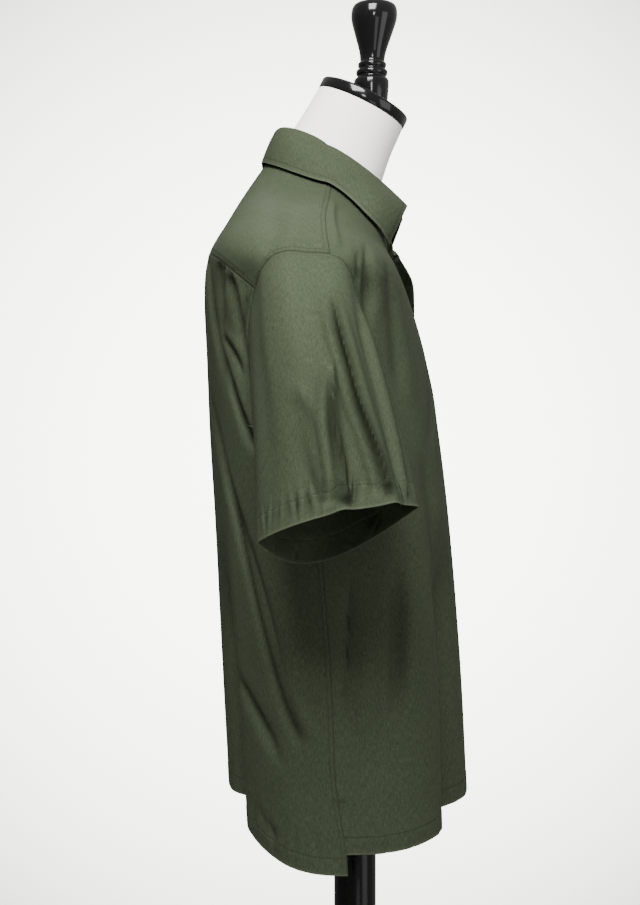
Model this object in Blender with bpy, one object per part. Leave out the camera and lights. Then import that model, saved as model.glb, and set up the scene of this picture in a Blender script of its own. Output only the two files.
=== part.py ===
"""Oversized drop-shoulder shirt on a limbless dress form, at real size.

Metres, +Z up. The wearer's front faces -Y and the wearer's right is -X. The origin is the
centre of the underside of the stand's base. Every piece of cloth is a thin wall. The body
pieces share one surface, body_point(angle, level): the angle runs round the body from the
centre front (0) over the wearer's right side (90) to the centre back (180), and the level
counts the rows of SECTIONS from the hem (0) to the neck seam (9).
"""
import math
from collections import namedtuple

import bmesh
import bpy
from mathutils import Matrix, Vector

# ---------------------------------------------------------------- driving dimensions
WALL = 0.0015              # thickness of the cloth
SEAM_GAP = 0.0004          # between two pieces that are sewn together
LAP = 0.0028               # how far the right front lies under the left at the buttoned edge
SEAT_GAP = 0.0008          # between the form's shoulders and the yoke that rests on them

NECK_END = 40.0            # angle of the front ends of the neck seam
YOKE_SEAM_LOW = 82.0       # angle of the front yoke seam at the armhole
YOKE_SEAM_HIGH = 88.0      # and at the neck
SIDE_SEAM = 92.5           # angle of the side seams, a little behind the middle
VENT_SHIFT = -2.4          # the seam swings forward at the hem vents
NECK_LEVEL = 9.0
SHOULDER_LEVEL = 6.0
BACK_SEAM_LEVEL = 5.05     # where the back yoke seam meets the armhole
HEM_FRONT_LEVEL = 0.06     # the front hem is a little shorter than the back hem
HEM_BACK_LEVEL = -0.06
EDGE_LIFT = 0.017          # how far the open left front edge stands forward
EDGE_LIFT_FROM = 4.5       # the level where it begins to stand forward
EDGE_LIFT_WIDTH = 16.0     # and how far round the body that reaches, in degrees
UNDERLAP_END = 4.75        # the level where the open neck's edges part
UNDERLAP_RUN = 6.0         # the right front sinks under the left over this many degrees

BUTTON_LEVEL = 4.47
BUTTON_DIAMETER = 0.0115
BUTTON_THICKNESS = 0.0026

POLE_DIAMETER = 0.050
BASE_RADIUS = 0.170
BASE_THICKNESS = 0.022
TORSO_BOTTOM = 0.820
JOINT_GAP = 0.0003         # between the pole and what it meets
NECK_TILT = 26.0           # the neck leans forward by this many degrees
CAP_THICKNESS = 0.014
FINIAL_Y = -0.0195
FINIAL_LEAN = 0.042        # forward run for each metre of rise

FRONT_COLUMNS = 16
BACK_COLUMNS = 46
SLEEVE_ROWS = 10
COLLAR_COLUMNS = 36
LOW_LEVELS = (0.3, 0.6, 0.95, 1.3, 1.65, 2.0, 2.35, 2.7)
FRONT_ARMHOLE_STEPS = 13
YOKE_ARMHOLE_STEPS = 10
BACK_ARMHOLE_STEPS = 9
YOKE_ROWS = 6
FORM_SEGMENTS = 28
TURNED_SEGMENTS = 20
POLE_SEGMENTS = 28
BASE_SEGMENTS = 48
BUTTON_SEGMENTS = 16

# ---------------------------------------------------------------- tables
# Each ring is a rounded square; rise_front and rise_back bend its height towards front and back.
Section = namedtuple("Section", "name front_y back_y side_y half_width z_front z_side z_back "
                                "corner rise_front rise_back")
SECTIONS = (
    Section("hem",       -0.131, 0.150, 0.012, 0.245, 0.752, 0.715, 0.780, 0.80, 2.4, 2.2),
    Section("hip",       -0.1235, 0.157, 0.018, 0.245, 0.900, 0.900, 0.900, 0.80, 1.0, 1.0),
    Section("waist",     -0.112, 0.165, 0.030, 0.243, 1.050, 1.050, 1.050, 0.80, 1.0, 1.0),
    Section("underarm",  -0.099, 0.1715, 0.040, 0.240, 1.165, 1.140, 1.165, 0.80, 1.0, 1.0),
    Section("chest",     -0.0845, 0.1745, 0.050, 0.243, 1.250, 1.235, 1.260, 0.80, 1.0, 1.0),
    Section("armhole",   -0.066, 0.1755, 0.055, 0.257, 1.315, 1.310, 1.333, 0.78, 1.0, 1.0),
    Section("shoulder",  -0.0507, 0.1695, 0.055, 0.266, 1.355, 1.357, 1.379, 0.75, 1.0, 1.0),
    Section("yoke",      -0.0387, 0.152, 0.050, 0.205, 1.382, 1.405, 1.417, 0.80, 1.0, 1.0),
    Section("collar",    -0.0425, 0.134, 0.040, 0.130, 1.398, 1.440, 1.452, 0.82, 1.0, 1.0),
    Section("neck",      -0.0573, 0.103, 0.0325, 0.078, 1.396, 1.468, 1.500, 0.85, 1.0, 1.0),
)

Edge = namedtuple("Edge", "level right_x left_x")
FRONT_EDGES = (
    Edge(-1.0, 0.014, -0.017),
    Edge(4.00, 0.014, -0.017),
    Edge(4.47, 0.013, -0.016),
    Edge(4.75, -0.004, -0.006),
    Edge(5.00, -0.020, 0.002),
    Edge(6.00, -0.040, 0.022),
    Edge(7.00, -0.055, 0.040),
    Edge(8.00, -0.0575, 0.052),
    Edge(9.00, -0.0553, 0.0553),
)

ArmholePoint = namedtuple("ArmholePoint", "name angle level turn")
ARMHOLE = (
    ArmholePoint("underarm", 92.5, 3.00, 180.0),
    ArmholePoint("front_1", 86.0, 3.07, 167.0),
    ArmholePoint("front_2", 80.0, 3.30, 151.0),
    ArmholePoint("front_3", 75.0, 3.70, 130.0),
    ArmholePoint("front_4", 72.0, 4.20, 108.0),
    ArmholePoint("front_5", 70.5, 4.70, 88.0),
    ArmholePoint("front_6", 70.5, 5.20, 66.0),
    ArmholePoint("front_7", 72.5, 5.60, 45.0),
    ArmholePoint("front_8", 76.5, 5.88, 28.0),
    ArmholePoint("front_yoke", YOKE_SEAM_LOW, SHOULDER_LEVEL, 14.0),
    ArmholePoint("top", 89.0, 6.03, 0.0),
    ArmholePoint("back_1", 96.0, 6.00, -11.0),
    ArmholePoint("back_2", 103.0, 5.85, -23.0),
    ArmholePoint("back_3", 107.5, 5.50, -38.0),
    ArmholePoint("back_yoke", 111.5, BACK_SEAM_LEVEL, -58.0),
    ArmholePoint("back_4", 115.0, 4.60, -80.0),
    ArmholePoint("back_5", 116.0, 4.20, -100.0),
    ArmholePoint("back_6", 113.5, 3.75, -122.0),
    ArmholePoint("back_7", 108.0, 3.35, -145.0),
    ArmholePoint("back_8", 101.0, 3.08, -164.0),
    ArmholePoint("underarm", 92.5, 3.00, -180.0),
)
FRONT_YOKE_INDEX = 9
BACK_YOKE_INDEX = 14
UNDERARM_INDEX = 20

# A fold runs from point a to point b of a surface; bow bends it, a negative height is a valley.
# fade_a and fade_b are the shares of its length over which it comes up at each end; 0 is full.
Fold = namedtuple("Fold", "name level_a angle_a level_b angle_b bow width height fade_a fade_b")
BODY_FOLDS = (
    Fold("front right hem lobe", -0.3, 33.0, 2.3, 29.0, 0.0, 12.0, -0.030, 0.0, 0.4),
    Fold("front left hem lobe", -0.3, -37.0, 2.2, -33.0, 0.0, 12.0, -0.027, 0.0, 0.4),
    Fold("back right hem lobe", -0.3, 151.0, 2.1, 158.0, 0.0, 9.0, -0.024, 0.0, 0.4),
    Fold("back left hem lobe", -0.3, -149.0, 2.0, -157.0, 0.0, 9.5, -0.022, 0.0, 0.4),
    Fold("back right long drag", 0.58, 102.0, 3.75, 161.0, 0.0, 4.5, -0.011, 0.3, 0.4),
    Fold("back left long drag", 0.85, -109.0, 3.60, -157.0, 0.0, 5.0, -0.009, 0.3, 0.4),
    Fold("back right armhole drag", 2.95, 117.5, 4.1, 138.0, 0.0, 4.0, -0.007, 0.2, 0.4),
    Fold("back left armhole drag", 3.05, -119.0, 4.4, -140.0, 0.0, 4.5, -0.006, 0.2, 0.4),
    Fold("back right armhole fold", 3.5, 119.0, 5.32, 129.0, -1.5, 3.8, -0.006, 0.4, 0.15),
    Fold("back left armhole fold", 3.3, -120.0, 5.34, -131.0, 1.5, 4.2, -0.006, 0.4, 0.15),
    Fold("back right pleat", 4.2, 137.0, 5.62, 140.0, 0.0, 3.5, -0.005, 0.6, 0.15),
    Fold("back left pleat", 4.0, -138.0, 5.66, -142.0, 0.0, 3.5, -0.005, 0.6, 0.15),
    Fold("back right blade fold", 3.4, 133.0, 5.9, 163.0, 0.0, 5.0, -0.006, 0.4, 0.12),
    Fold("back left blade fold", 3.7, -137.0, 5.9, -161.0, 0.0, 5.0, -0.005, 0.4, 0.12),
    Fold("back right hem fold", 0.45, 113.0, 1.15, 147.0, 0.0, 5.0, -0.006, 0.3, 0.3),
    Fold("front right side fold", 0.6, 73.0, 2.1, 63.0, 0.0, 5.5, -0.007, 0.4, 0.4),
    Fold("front left side fold", 0.5, -70.0, 2.3, -62.0, 0.0, 6.0, -0.007, 0.4, 0.4),
    Fold("front right shoulder fold", 4.2, 67.0, 6.6, 57.0, 0.0, 4.0, -0.005, 0.4, 0.3),
    Fold("front left shoulder fold", 4.0, -65.0, 6.6, -56.0, 0.0, 4.0, -0.005, 0.4, 0.3),
    Fold("front right seam fold", 0.55, 90.0, 1.9, 85.5, 0.0, 3.2, -0.004, 0.3, 0.4),
)
SLEEVE_FOLDS_RIGHT = (
    Fold("front drag", 0.05, 10.0, 1.05, 42.0, 2.0, 10.0, -0.008, 0.4, 0.0),
    Fold("middle fold", 0.42, 6.0, 1.05, 5.0, -3.0, 8.0, -0.006, 0.4, 0.0),
    Fold("back fold", 0.45, -26.0, 1.05, -2.0, 0.0, 9.0, -0.004, 0.4, 0.3),
)
SLEEVE_FOLDS_LEFT = (
    Fold("front drag", 0.12, 14.0, 1.05, 38.0, 0.0, 11.0, -0.007, 0.4, 0.0),
    Fold("middle fold", 0.38, -4.0, 1.05, 2.0, 3.0, 9.0, -0.006, 0.4, 0.0),
    Fold("back drag", 0.25, -48.0, 1.05, -26.0, 0.0, 10.0, -0.005, 0.4, 0.3),
)

HemLoop = namedtuple("HemLoop", "centre outer inner front")
SLEEVE_HEM = HemLoop(
    centre=Vector((-0.330, 0.024, 1.077)),
    outer=Vector((-0.055, 0.0015, 0.014)),
    inner=Vector((0.055, 0.018, -0.040)),
    front=Vector((0.0, -0.081, 0.018)),
)
SLEEVE_HEM_LENS_OUTER = 1.45                        # above 1 the hem's tips are drawn out
SLEEVE_HEM_LENS_INNER = 2.2
SLEEVE_TOP_RUN = Vector((-0.87, -0.02, -0.48))      # how the shoulder line runs into the sleeve
SLEEVE_END_RUN = Vector((-0.30, -0.03, -0.95))      # how the cloth hangs at the sleeve hem
SLEEVE_ROUND = 0.45                                 # share of the shoulder line in the sleeve cap

SLEEVE_LAP_TURNS = (45.0, 90.0)                     # past these the sleeve hangs over the seam
SLEEVE_LAP_LEAVE = 0.6

CollarRow = namedtuple("CollarRow", "angle edge_angle edge_level")
COLLAR_EDGE = (
    CollarRow(40.0, 24.0, 7.10),
    CollarRow(48.0, 40.0, 7.55),
    CollarRow(57.0, 58.0, 7.88),
    CollarRow(70.0, 75.0, 8.28),
    CollarRow(90.0, 90.0, 8.50),
    CollarRow(125.0, 125.0, 8.70),
    CollarRow(180.0, 180.0, 8.86),
)
COLLAR_FOLD = Section("fold", -0.078, 0.0985, 0.035, 0.072, 1.420, 1.505, 1.533, 0.80, 1.0, 0.6)
COLLAR_REST = 0.0022       # between the collar's edge and the cloth under it
FALL_STEPS = (0.0, 0.12, 0.3, 0.55, 0.8, 1.0)
FALL_BULGE_SIDE = 0.006
FALL_BULGE_BACK = 0.001
FALL_TURN_OUT = 0.0042     # how far the cloth turns out at the fold before it falls
FALL_TURN_DOWN = 0.0030
FOLD_CLEAR = 0.0013        # between the stand's upper edge and the fold over it

FormRing = namedtuple("FormRing", "z centre_y half_width front back")
TORSO = (
    FormRing(TORSO_BOTTOM, 0.005, 0.158, 0.103, 0.113),
    FormRing(0.835, 0.005, 0.164, 0.108, 0.118),
    FormRing(0.920, 0.005, 0.168, 0.110, 0.120),
    FormRing(1.000, 0.012, 0.152, 0.102, 0.106),
    FormRing(1.080, 0.020, 0.138, 0.095, 0.095),
    FormRing(1.160, 0.028, 0.148, 0.102, 0.105),
    FormRing(1.240, 0.036, 0.164, 0.108, 0.115),
    FormRing(1.300, 0.044, 0.180, 0.100, 0.115),
    FormRing(1.345, 0.048, 0.192, 0.088, 0.112),
    FormRing(1.372, 0.050, 0.193, 0.080, 0.106),
)
SHOULDER_RINGS = (7.15, 7.4, 7.7, 8.0, 8.3, 8.6)
SHOULDER_SLOPE = 30.0      # of the shoulder line, in degrees
SHOULDER_TUCK = 0.016      # how much the form's shoulder ends drop away from the yoke
SHOULDER_NARROW = 0.004    # and how much they are narrower
CHEST_FRONT_Y = -0.014
CHEST_TILT = 0.012         # the chest's rise for each level above the seventh
BACK_CLEAR = 0.016         # between the form's back and the yoke
BACK_DROP = 0.008
TiltedRing = namedtuple("TiltedRing", "centre_y centre_z half_width half_depth tilt")
NECK_RINGS = (
    TiltedRing(0.0380, 1.4585, 0.0670, 0.0600, 33.0),
    TiltedRing(0.0328, 1.4790, 0.0610, 0.0615, 31.0),
    TiltedRing(0.0245, 1.4985, 0.0570, 0.0620, 28.5),
    TiltedRing(0.0100, 1.5300, 0.0535, 0.0580, 27.0),
    TiltedRing(-0.0068, 1.5625, 0.0525, 0.0555, NECK_TILT),
)
TurnedRing = namedtuple("TurnedRing", "radius z")
FINIAL = (
    TurnedRing(0.0212, 1.5900), TurnedRing(0.0205, 1.5965), TurnedRing(0.0172, 1.6005),
    TurnedRing(0.0186, 1.6035), TurnedRing(0.0186, 1.6075), TurnedRing(0.0158, 1.6100),
    TurnedRing(0.0168, 1.6128), TurnedRing(0.0168, 1.6165), TurnedRing(0.0147, 1.6195),
    TurnedRing(0.0165, 1.6320), TurnedRing(0.0225, 1.6520), TurnedRing(0.0268, 1.6670),
    TurnedRing(0.0276, 1.6765), TurnedRing(0.0258, 1.6845), TurnedRing(0.0205, 1.6895),
    TurnedRing(0.0135, 1.6930), TurnedRing(0.0128, 1.6970), TurnedRing(0.0138, 1.7015),
    TurnedRing(0.0118, 1.7080), TurnedRing(0.0065, 1.7130),
)
FINIAL_TOP = 1.7150
FINIAL_FOOT_RADIUS = 0.0190


# ---------------------------------------------------------------- curves
def smoothstep(value):
    """Ease a number from 0 to 1."""
    value = min(max(value, 0.0), 1.0)
    return value * value * (3.0 - 2.0 * value)


def catmull(values, place):
    """Read a smooth curve through evenly spaced values; past its ends it runs on straight."""
    last = len(values) - 1
    index = min(max(int(math.floor(place)), 0), last - 1)
    part = place - index
    here, there = values[index], values[index + 1]
    before = values[index - 1] if index > 0 else 2.0 * here - there
    after = values[index + 2] if index + 2 <= last else 2.0 * there - here
    if part < 0.0 or part > 1.0:
        return here + (there - here) * part
    return 0.5 * (
        2.0 * here + (there - before) * part
        + (2.0 * before - 5.0 * here + 4.0 * there - after) * part ** 2
        + (3.0 * here - before - 3.0 * there + after) * part ** 3
    )


def table_value(rows, key, column, value):
    """Read one column of a table between its rows, eased at each row."""
    keys = [getattr(row, key) for row in rows]
    values = [getattr(row, column) for row in rows]
    if value <= keys[0]:
        return values[0]
    for low in range(len(keys) - 1):
        if value <= keys[low + 1]:
            share = (value - keys[low]) / (keys[low + 1] - keys[low])
            return catmull(values, low + share)
    return values[-1]


def fold_height(folds, angle, level, turn_period=360.0):
    """Add up how far the folds raise or sink one point of a surface."""
    height = 0.0
    for fold in folds:
        share = (level - fold.level_a) / (fold.level_b - fold.level_a)
        if not 0.0 < share < 1.0:
            continue
        centre = fold.angle_a + (fold.angle_b - fold.angle_a) * share
        centre += fold.bow * 4.0 * share * (1.0 - share)
        away = (angle - centre + turn_period / 2.0) % turn_period - turn_period / 2.0
        if abs(away) >= 2.5 * fold.width:
            continue
        fade = 1.0
        if fold.fade_a:
            fade *= smoothstep(share / fold.fade_a)
        if fold.fade_b:
            fade *= smoothstep((1.0 - share) / fold.fade_b)
        height += fold.height * fade * math.exp(-(away / fold.width) ** 2 * 1.6)
    return height


# ---------------------------------------------------------------- the body's surface
def section_at(level):
    """Interpolate the body's sections at one level."""
    columns = Section._fields[1:]
    values = [catmull([getattr(row, name) for row in SECTIONS], level) for name in columns]
    return Section("", *values)


def ring_point(section, angle):
    """Give the point of a rounded, square-shouldered ring at one angle."""
    sine = math.sin(math.radians(angle))
    cosine = math.cos(math.radians(angle))
    across = math.copysign(abs(sine) ** section.corner, sine)
    along = abs(cosine) ** section.corner
    far_y, far_z, rise = section.front_y, section.z_front, section.rise_front
    if cosine < 0.0:
        far_y, far_z, rise = section.back_y, section.z_back, section.rise_back
    return Vector((
        -section.half_width * across,
        section.side_y + (far_y - section.side_y) * along,
        section.z_side + (far_z - section.z_side) * abs(cosine) ** rise,
    ))


def base_point(angle, level):
    """Give a point of the body without its folds."""
    return ring_point(section_at(level), angle)


def surface_normal(point_at, angle, level, step_angle=0.7, step_level=0.02):
    """Give the outward normal of a surface from four points close by."""
    round_body = point_at(angle + step_angle, level) - point_at(angle - step_angle, level)
    up_body = point_at(angle, level + step_level) - point_at(angle, level - step_level)
    return up_body.cross(round_body).normalized()


def edge_angle(level, column):
    """Give the angle of a front edge at one level from its distance to the centre front."""
    across = table_value(FRONT_EDGES, "level", column, level)
    section = section_at(level)
    share = min(abs(across) / section.half_width, 1.0) ** (1.0 / section.corner)
    return math.degrees(math.copysign(math.asin(share), -across))


def left_edge_lift(angle, level):
    """Stand the open left front edge forward above the button."""
    if angle > 0.0 or level < EDGE_LIFT_FROM:
        return 0.0
    away = (angle - edge_angle(level, "left_x")) / EDGE_LIFT_WIDTH
    rise = smoothstep((level - EDGE_LIFT_FROM) / 2.2) * (1.0 - 0.7 * smoothstep((level - 7.6) / 1.4))
    return EDGE_LIFT * rise * math.exp(-away ** 2 * 1.5)


def body_point(angle, level):
    """Give a point of the body's outer surface with its folds."""
    angle = (angle + 180.0) % 360.0 - 180.0
    height = fold_height(BODY_FOLDS, angle, level) + left_edge_lift(angle, level)
    point = base_point(angle, level)
    if height:
        point = point + surface_normal(base_point, angle, level) * height
    return point


def body_frame(angle, level):
    """Give a point of the body and its outward normal."""
    return body_point(angle, level), surface_normal(body_point, angle, level)


# ---------------------------------------------------------------- seams as lists of places
def armhole_place(index):
    """Give the angle, level and sleeve turn of a place along the armhole."""
    return tuple(catmull([getattr(row, name) for row in ARMHOLE], index)
                 for name in ("angle", "level", "turn"))


def armhole_stretch(first, last, steps):
    """List the armhole's places between two of its named points."""
    return [armhole_place(first + (last - first) * step / steps) for step in range(steps + 1)]


def side_seam_angle(level):
    """Give the angle of the side seam, which swings forward at the vent."""
    return SIDE_SEAM + VENT_SHIFT * (1.0 - smoothstep(level / 0.55))


def back_seam_place(share):
    """Give the angle and level of the back yoke seam, from the right armhole to the left."""
    corner = ARMHOLE[BACK_YOKE_INDEX]
    angle = corner.angle + (360.0 - 2.0 * corner.angle) * share
    rise = SHOULDER_LEVEL - corner.level
    return angle, SHOULDER_LEVEL - rise * abs(1.0 - 2.0 * share) ** 1.8


def front_yoke_place(share):
    """Give a place on the front yoke seam, from the armhole to the neck."""
    angle = YOKE_SEAM_LOW + (YOKE_SEAM_HIGH - YOKE_SEAM_LOW) * share
    return angle, SHOULDER_LEVEL + (NECK_LEVEL - SHOULDER_LEVEL) * share


# ---------------------------------------------------------------- grids of the cut pieces
def front_grid(side):
    """List a front's rows of places; side is 1 for the wearer's right and -1 for the left."""
    column = "right_x" if side > 0 else "left_x"
    outer = [(side_seam_angle(level), level) for level in (HEM_FRONT_LEVEL,) + LOW_LEVELS]
    outer += [place[:2] for place in armhole_stretch(0, FRONT_YOKE_INDEX, FRONT_ARMHOLE_STEPS)]
    outer += [front_yoke_place(row / YOKE_ROWS) for row in range(1, YOKE_ROWS + 1)]
    rows = []
    for angle, level in outer:
        start = edge_angle(level, column) * side
        rows.append([(side * (start + (angle - start) * step / FRONT_COLUMNS), level)
                     for step in range(FRONT_COLUMNS + 1)])
    return rows


def back_grid():
    """List the back's rows of places, from the right side seam round to the left."""
    outer = [(side_seam_angle(level), level) for level in (HEM_BACK_LEVEL,) + LOW_LEVELS]
    armhole = armhole_stretch(BACK_YOKE_INDEX, UNDERARM_INDEX, BACK_ARMHOLE_STEPS)
    outer += [place[:2] for place in reversed(armhole)]
    rows = []
    for angle, level in outer:
        row = []
        for step in range(BACK_COLUMNS + 1):
            share = step / BACK_COLUMNS
            stretch = back_seam_place(share)[1] / BACK_SEAM_LEVEL
            row.append((angle + (360.0 - 2.0 * angle) * share, level * stretch))
        rows.append(row)
    return rows


def yoke_grid():
    """List the yoke's rows of places, from its lower edge up to the neck seam."""
    armhole = armhole_stretch(FRONT_YOKE_INDEX, BACK_YOKE_INDEX, YOKE_ARMHOLE_STEPS)
    lower = [place[:2] for place in armhole[:-1]]
    lower += [back_seam_place(step / BACK_COLUMNS) for step in range(BACK_COLUMNS + 1)]
    lower += [(360.0 - place[0], place[1]) for place in reversed(armhole[:-1])]
    last = len(lower) - 1
    upper = [YOKE_SEAM_HIGH + (360.0 - 2.0 * YOKE_SEAM_HIGH) * step / last
             for step in range(last + 1)]
    rows = []
    for row in range(YOKE_ROWS + 1):
        share = row / YOKE_ROWS
        rows.append([(angle + (high - angle) * share, level + (NECK_LEVEL - level) * share)
                     for (angle, level), high in zip(lower, upper)])
    return rows


def evaluate(rows, sink=None):
    """Turn rows of places into rows of points and normals on the body."""
    points, normals = [], []
    for row in rows:
        frames = [body_frame(angle, level) for angle, level in row]
        if sink:
            frames = [(point - normal * sink(place), normal)
                      for (point, normal), place in zip(frames, row)]
        points.append([point for point, _ in frames])
        normals.append([normal for _, normal in frames])
    return points, normals


def inset_border(points, normals, closed=False):
    """Draw the border of a grid in by half the seam gap, square to the seam."""
    high, wide = len(points) - 1, len(points[0]) - 1
    moved = [[point.copy() for point in row] for row in points]

    def push(row, column, beside, inward):
        seam = points[beside[1][0]][beside[1][1]] - points[beside[0][0]][beside[0][1]]
        away = normals[row][column].cross(seam).normalized()
        towards = points[inward[0]][inward[1]] - points[row][column]
        if away.dot(towards) < 0.0:
            away.negate()
        moved[row][column] += away * (SEAM_GAP / 2.0)

    for column in range(wide + 1):
        left, right = max(column - 1, 0), min(column + 1, wide)
        if closed:
            left, right = (column - 1) % (wide + 1), (column + 1) % (wide + 1)
        push(0, column, ((0, left), (0, right)), (1, column))
        push(high, column, ((high, left), (high, right)), (high - 1, column))
    if not closed:
        for row in range(high + 1):
            below, above = max(row - 1, 0), min(row + 1, high)
            push(row, 0, ((below, 0), (above, 0)), (row, 1))
            push(row, wide, ((below, wide), (above, wide)), (row, wide - 1))
    return moved


# ---------------------------------------------------------------- meshes
def new_material(name, colour, roughness, metallic=0.0):
    """Make a plain material."""
    material = bpy.data.materials.new(name)
    material.use_nodes = True
    shader = material.node_tree.nodes["Principled BSDF"]
    shader.inputs["Base Color"].default_value = (*colour, 1.0)
    shader.inputs["Roughness"].default_value = roughness
    shader.inputs["Metallic"].default_value = metallic
    material.diffuse_color = (*colour, 1.0)
    return material


def link_mesh(name, mesh_data, material, sharp_degrees=50.0):
    """Make an object from a bmesh, with its faces pointing out."""
    bmesh.ops.recalc_face_normals(mesh_data, faces=mesh_data.faces)
    if mesh_data.calc_volume(signed=True) < 0.0:
        bmesh.ops.reverse_faces(mesh_data, faces=mesh_data.faces)
    mesh = bpy.data.meshes.new(name)
    mesh_data.to_mesh(mesh)
    mesh_data.free()
    mesh.materials.append(material)
    mesh.shade_smooth()
    mesh.set_sharp_from_angle(angle=math.radians(sharp_degrees))
    piece = bpy.data.objects.new(name, mesh)
    bpy.context.scene.collection.objects.link(piece)
    return piece


def wall_mesh(points, normals, closed=False, thickness=WALL):
    """Close a grid of outer points with an inner grid and rims; closed joins first and last."""
    mesh_data = bmesh.new()
    high, wide = len(points), len(points[0])
    outer = [[mesh_data.verts.new(point) for point in row] for row in points]
    inner = [[mesh_data.verts.new(point - normal * thickness)
              for point, normal in zip(point_row, normal_row)]
             for point_row, normal_row in zip(points, normals)]
    spans = wide if closed else wide - 1
    for row in range(high - 1):
        for column in range(spans):
            after = (column + 1) % wide
            for layer in (outer, inner):
                mesh_data.faces.new((layer[row][column], layer[row + 1][column],
                                     layer[row + 1][after], layer[row][after]))
    for row in (0, high - 1):
        for column in range(spans):
            after = (column + 1) % wide
            mesh_data.faces.new((outer[row][column], outer[row][after],
                                 inner[row][after], inner[row][column]))
    if not closed:
        for column in (0, wide - 1):
            for row in range(high - 1):
                mesh_data.faces.new((outer[row][column], outer[row + 1][column],
                                     inner[row + 1][column], inner[row][column]))
    return mesh_data


def loft_mesh(rings, apex=None):
    """Close a stack of rings with flat ends, or with a point at the top."""
    mesh_data = bmesh.new()
    loops = [[mesh_data.verts.new(point) for point in ring] for ring in rings]
    count = len(loops[0])
    for low, high in zip(loops, loops[1:]):
        for index in range(count):
            after = (index + 1) % count
            mesh_data.faces.new((low[index], low[after], high[after], high[index]))
    mesh_data.faces.new(loops[0])
    if apex is None:
        mesh_data.faces.new(loops[-1])
    else:
        top = mesh_data.verts.new(apex)
        for index in range(count):
            mesh_data.faces.new((loops[-1][index], loops[-1][(index + 1) % count], top))
    return mesh_data


# ---------------------------------------------------------------- the shirt's pieces
def underlap(place):
    """Sink the right front under the left one where they are buttoned."""
    angle, level = place
    under = smoothstep((edge_angle(level, "left_x") + UNDERLAP_RUN - angle) / UNDERLAP_RUN)
    return LAP * under * (1.0 - smoothstep((level - UNDERLAP_END) / 0.5))


def make_front(name, side, cloth):
    """Make one front from its edge to the side seam, armhole, yoke seam and neck."""
    points, normals = evaluate(front_grid(side), underlap if side > 0 else None)
    return link_mesh(name, wall_mesh(inset_border(points, normals), normals), cloth)


def make_back(cloth):
    """Make the back, from side seam to side seam under the yoke."""
    points, normals = evaluate(back_grid())
    return link_mesh("back", wall_mesh(inset_border(points, normals), normals), cloth)


def make_yoke(cloth):
    """Make the yoke, which lies over the shoulders from seam to seam."""
    points, normals = evaluate(yoke_grid())
    return link_mesh("yoke", wall_mesh(inset_border(points, normals), normals), cloth)


def hem_loop_point(turn):
    """Give a point of the sleeve's hem; turn 0 is outward and 90 is the front tip."""
    sine = math.sin(math.radians(turn))
    cosine = math.cos(math.radians(turn))
    half, power = SLEEVE_HEM.outer, SLEEVE_HEM_LENS_OUTER
    if cosine < 0.0:
        half, power = SLEEVE_HEM.inner, SLEEVE_HEM_LENS_INNER
    lens = abs(cosine) ** power
    return SLEEVE_HEM.centre + SLEEVE_HEM.front * sine + half * lens


def sleeve_base(place, share):
    """Give a point of the right sleeve without its folds, from armhole (0) to hem (1)."""
    angle, level, turn = place
    start, normal = body_frame(angle, level)
    lap = smoothstep((abs(turn) - SLEEVE_LAP_TURNS[0]) / (SLEEVE_LAP_TURNS[1] - SLEEVE_LAP_TURNS[0]))
    start = start + normal * (lap * (WALL + 1.5 * SEAM_GAP))
    end = hem_loop_point(turn)
    chord = end - start
    length = chord.length
    top = max(math.cos(math.radians(turn)), 0.0)
    leave = chord.normalized().lerp(SLEEVE_TOP_RUN.normalized(), 0.9 * top ** 0.7)
    leave = (leave + Vector((-SLEEVE_LAP_LEAVE * lap, 0.0, 0.0))).normalized()
    arrive = chord.normalized().lerp(SLEEVE_END_RUN.normalized(), 0.55).normalized()
    first = start + leave * (length * SLEEVE_ROUND * (0.55 + 0.45 * top))
    second = end - arrive * (length * 0.33)
    keep = 1.0 - share
    return (start * keep ** 3 + first * (3.0 * keep ** 2 * share)
            + second * (3.0 * keep * share ** 2) + end * share ** 3)


def sleeve_point(index, share, folds):
    """Give a point of the right sleeve with its folds."""
    place = armhole_place(index % UNDERARM_INDEX)
    point = sleeve_base(place, share)
    height = fold_height(folds, place[2], share)
    if height:
        point = point + sleeve_normal(index, share, ()) * height
    return point


def sleeve_normal(index, share, folds):
    """Give the outward normal of the right sleeve."""
    ahead = sleeve_point(index + 0.05, share, folds)
    behind = sleeve_point(index - 0.05, share, folds)
    low, high = max(share - 0.01, 0.0), min(share + 0.01, 1.0)
    down = sleeve_point(index, high, folds) - sleeve_point(index, low, folds)
    return down.cross(ahead - behind).normalized()


def sleeve_indices():
    """List the places round the armhole that the sleeve shares with the body's pieces."""
    stretches = ((0, FRONT_YOKE_INDEX, FRONT_ARMHOLE_STEPS),
                 (FRONT_YOKE_INDEX, BACK_YOKE_INDEX, YOKE_ARMHOLE_STEPS),
                 (BACK_YOKE_INDEX, UNDERARM_INDEX, BACK_ARMHOLE_STEPS))
    return [first + (last - first) * step / steps
            for first, last, steps in stretches for step in range(steps)]


def make_sleeve(name, side, folds, cloth):
    """Make a sleeve as a tube from the armhole seam to its open hem."""
    indices = sleeve_indices()
    points, normals = [], []
    for row in range(SLEEVE_ROWS + 1):
        share = row / SLEEVE_ROWS
        points.append([sleeve_point(index, share, folds) for index in indices])
        normals.append([sleeve_normal(index, share, folds) for index in indices])
    for column, index in enumerate(indices):
        angle, level, _ = armhole_place(index)
        normals[0][column] = surface_normal(body_point, angle, level)
    points = inset_border(points, normals, closed=True)
    if side < 0:
        mirror = Matrix.Diagonal((-1.0, 1.0, 1.0))
        points = [[mirror @ point for point in row] for row in points]
        normals = [[mirror @ normal for normal in row] for row in normals]
    return link_mesh(name, wall_mesh(points, normals, closed=True), cloth)


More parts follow.
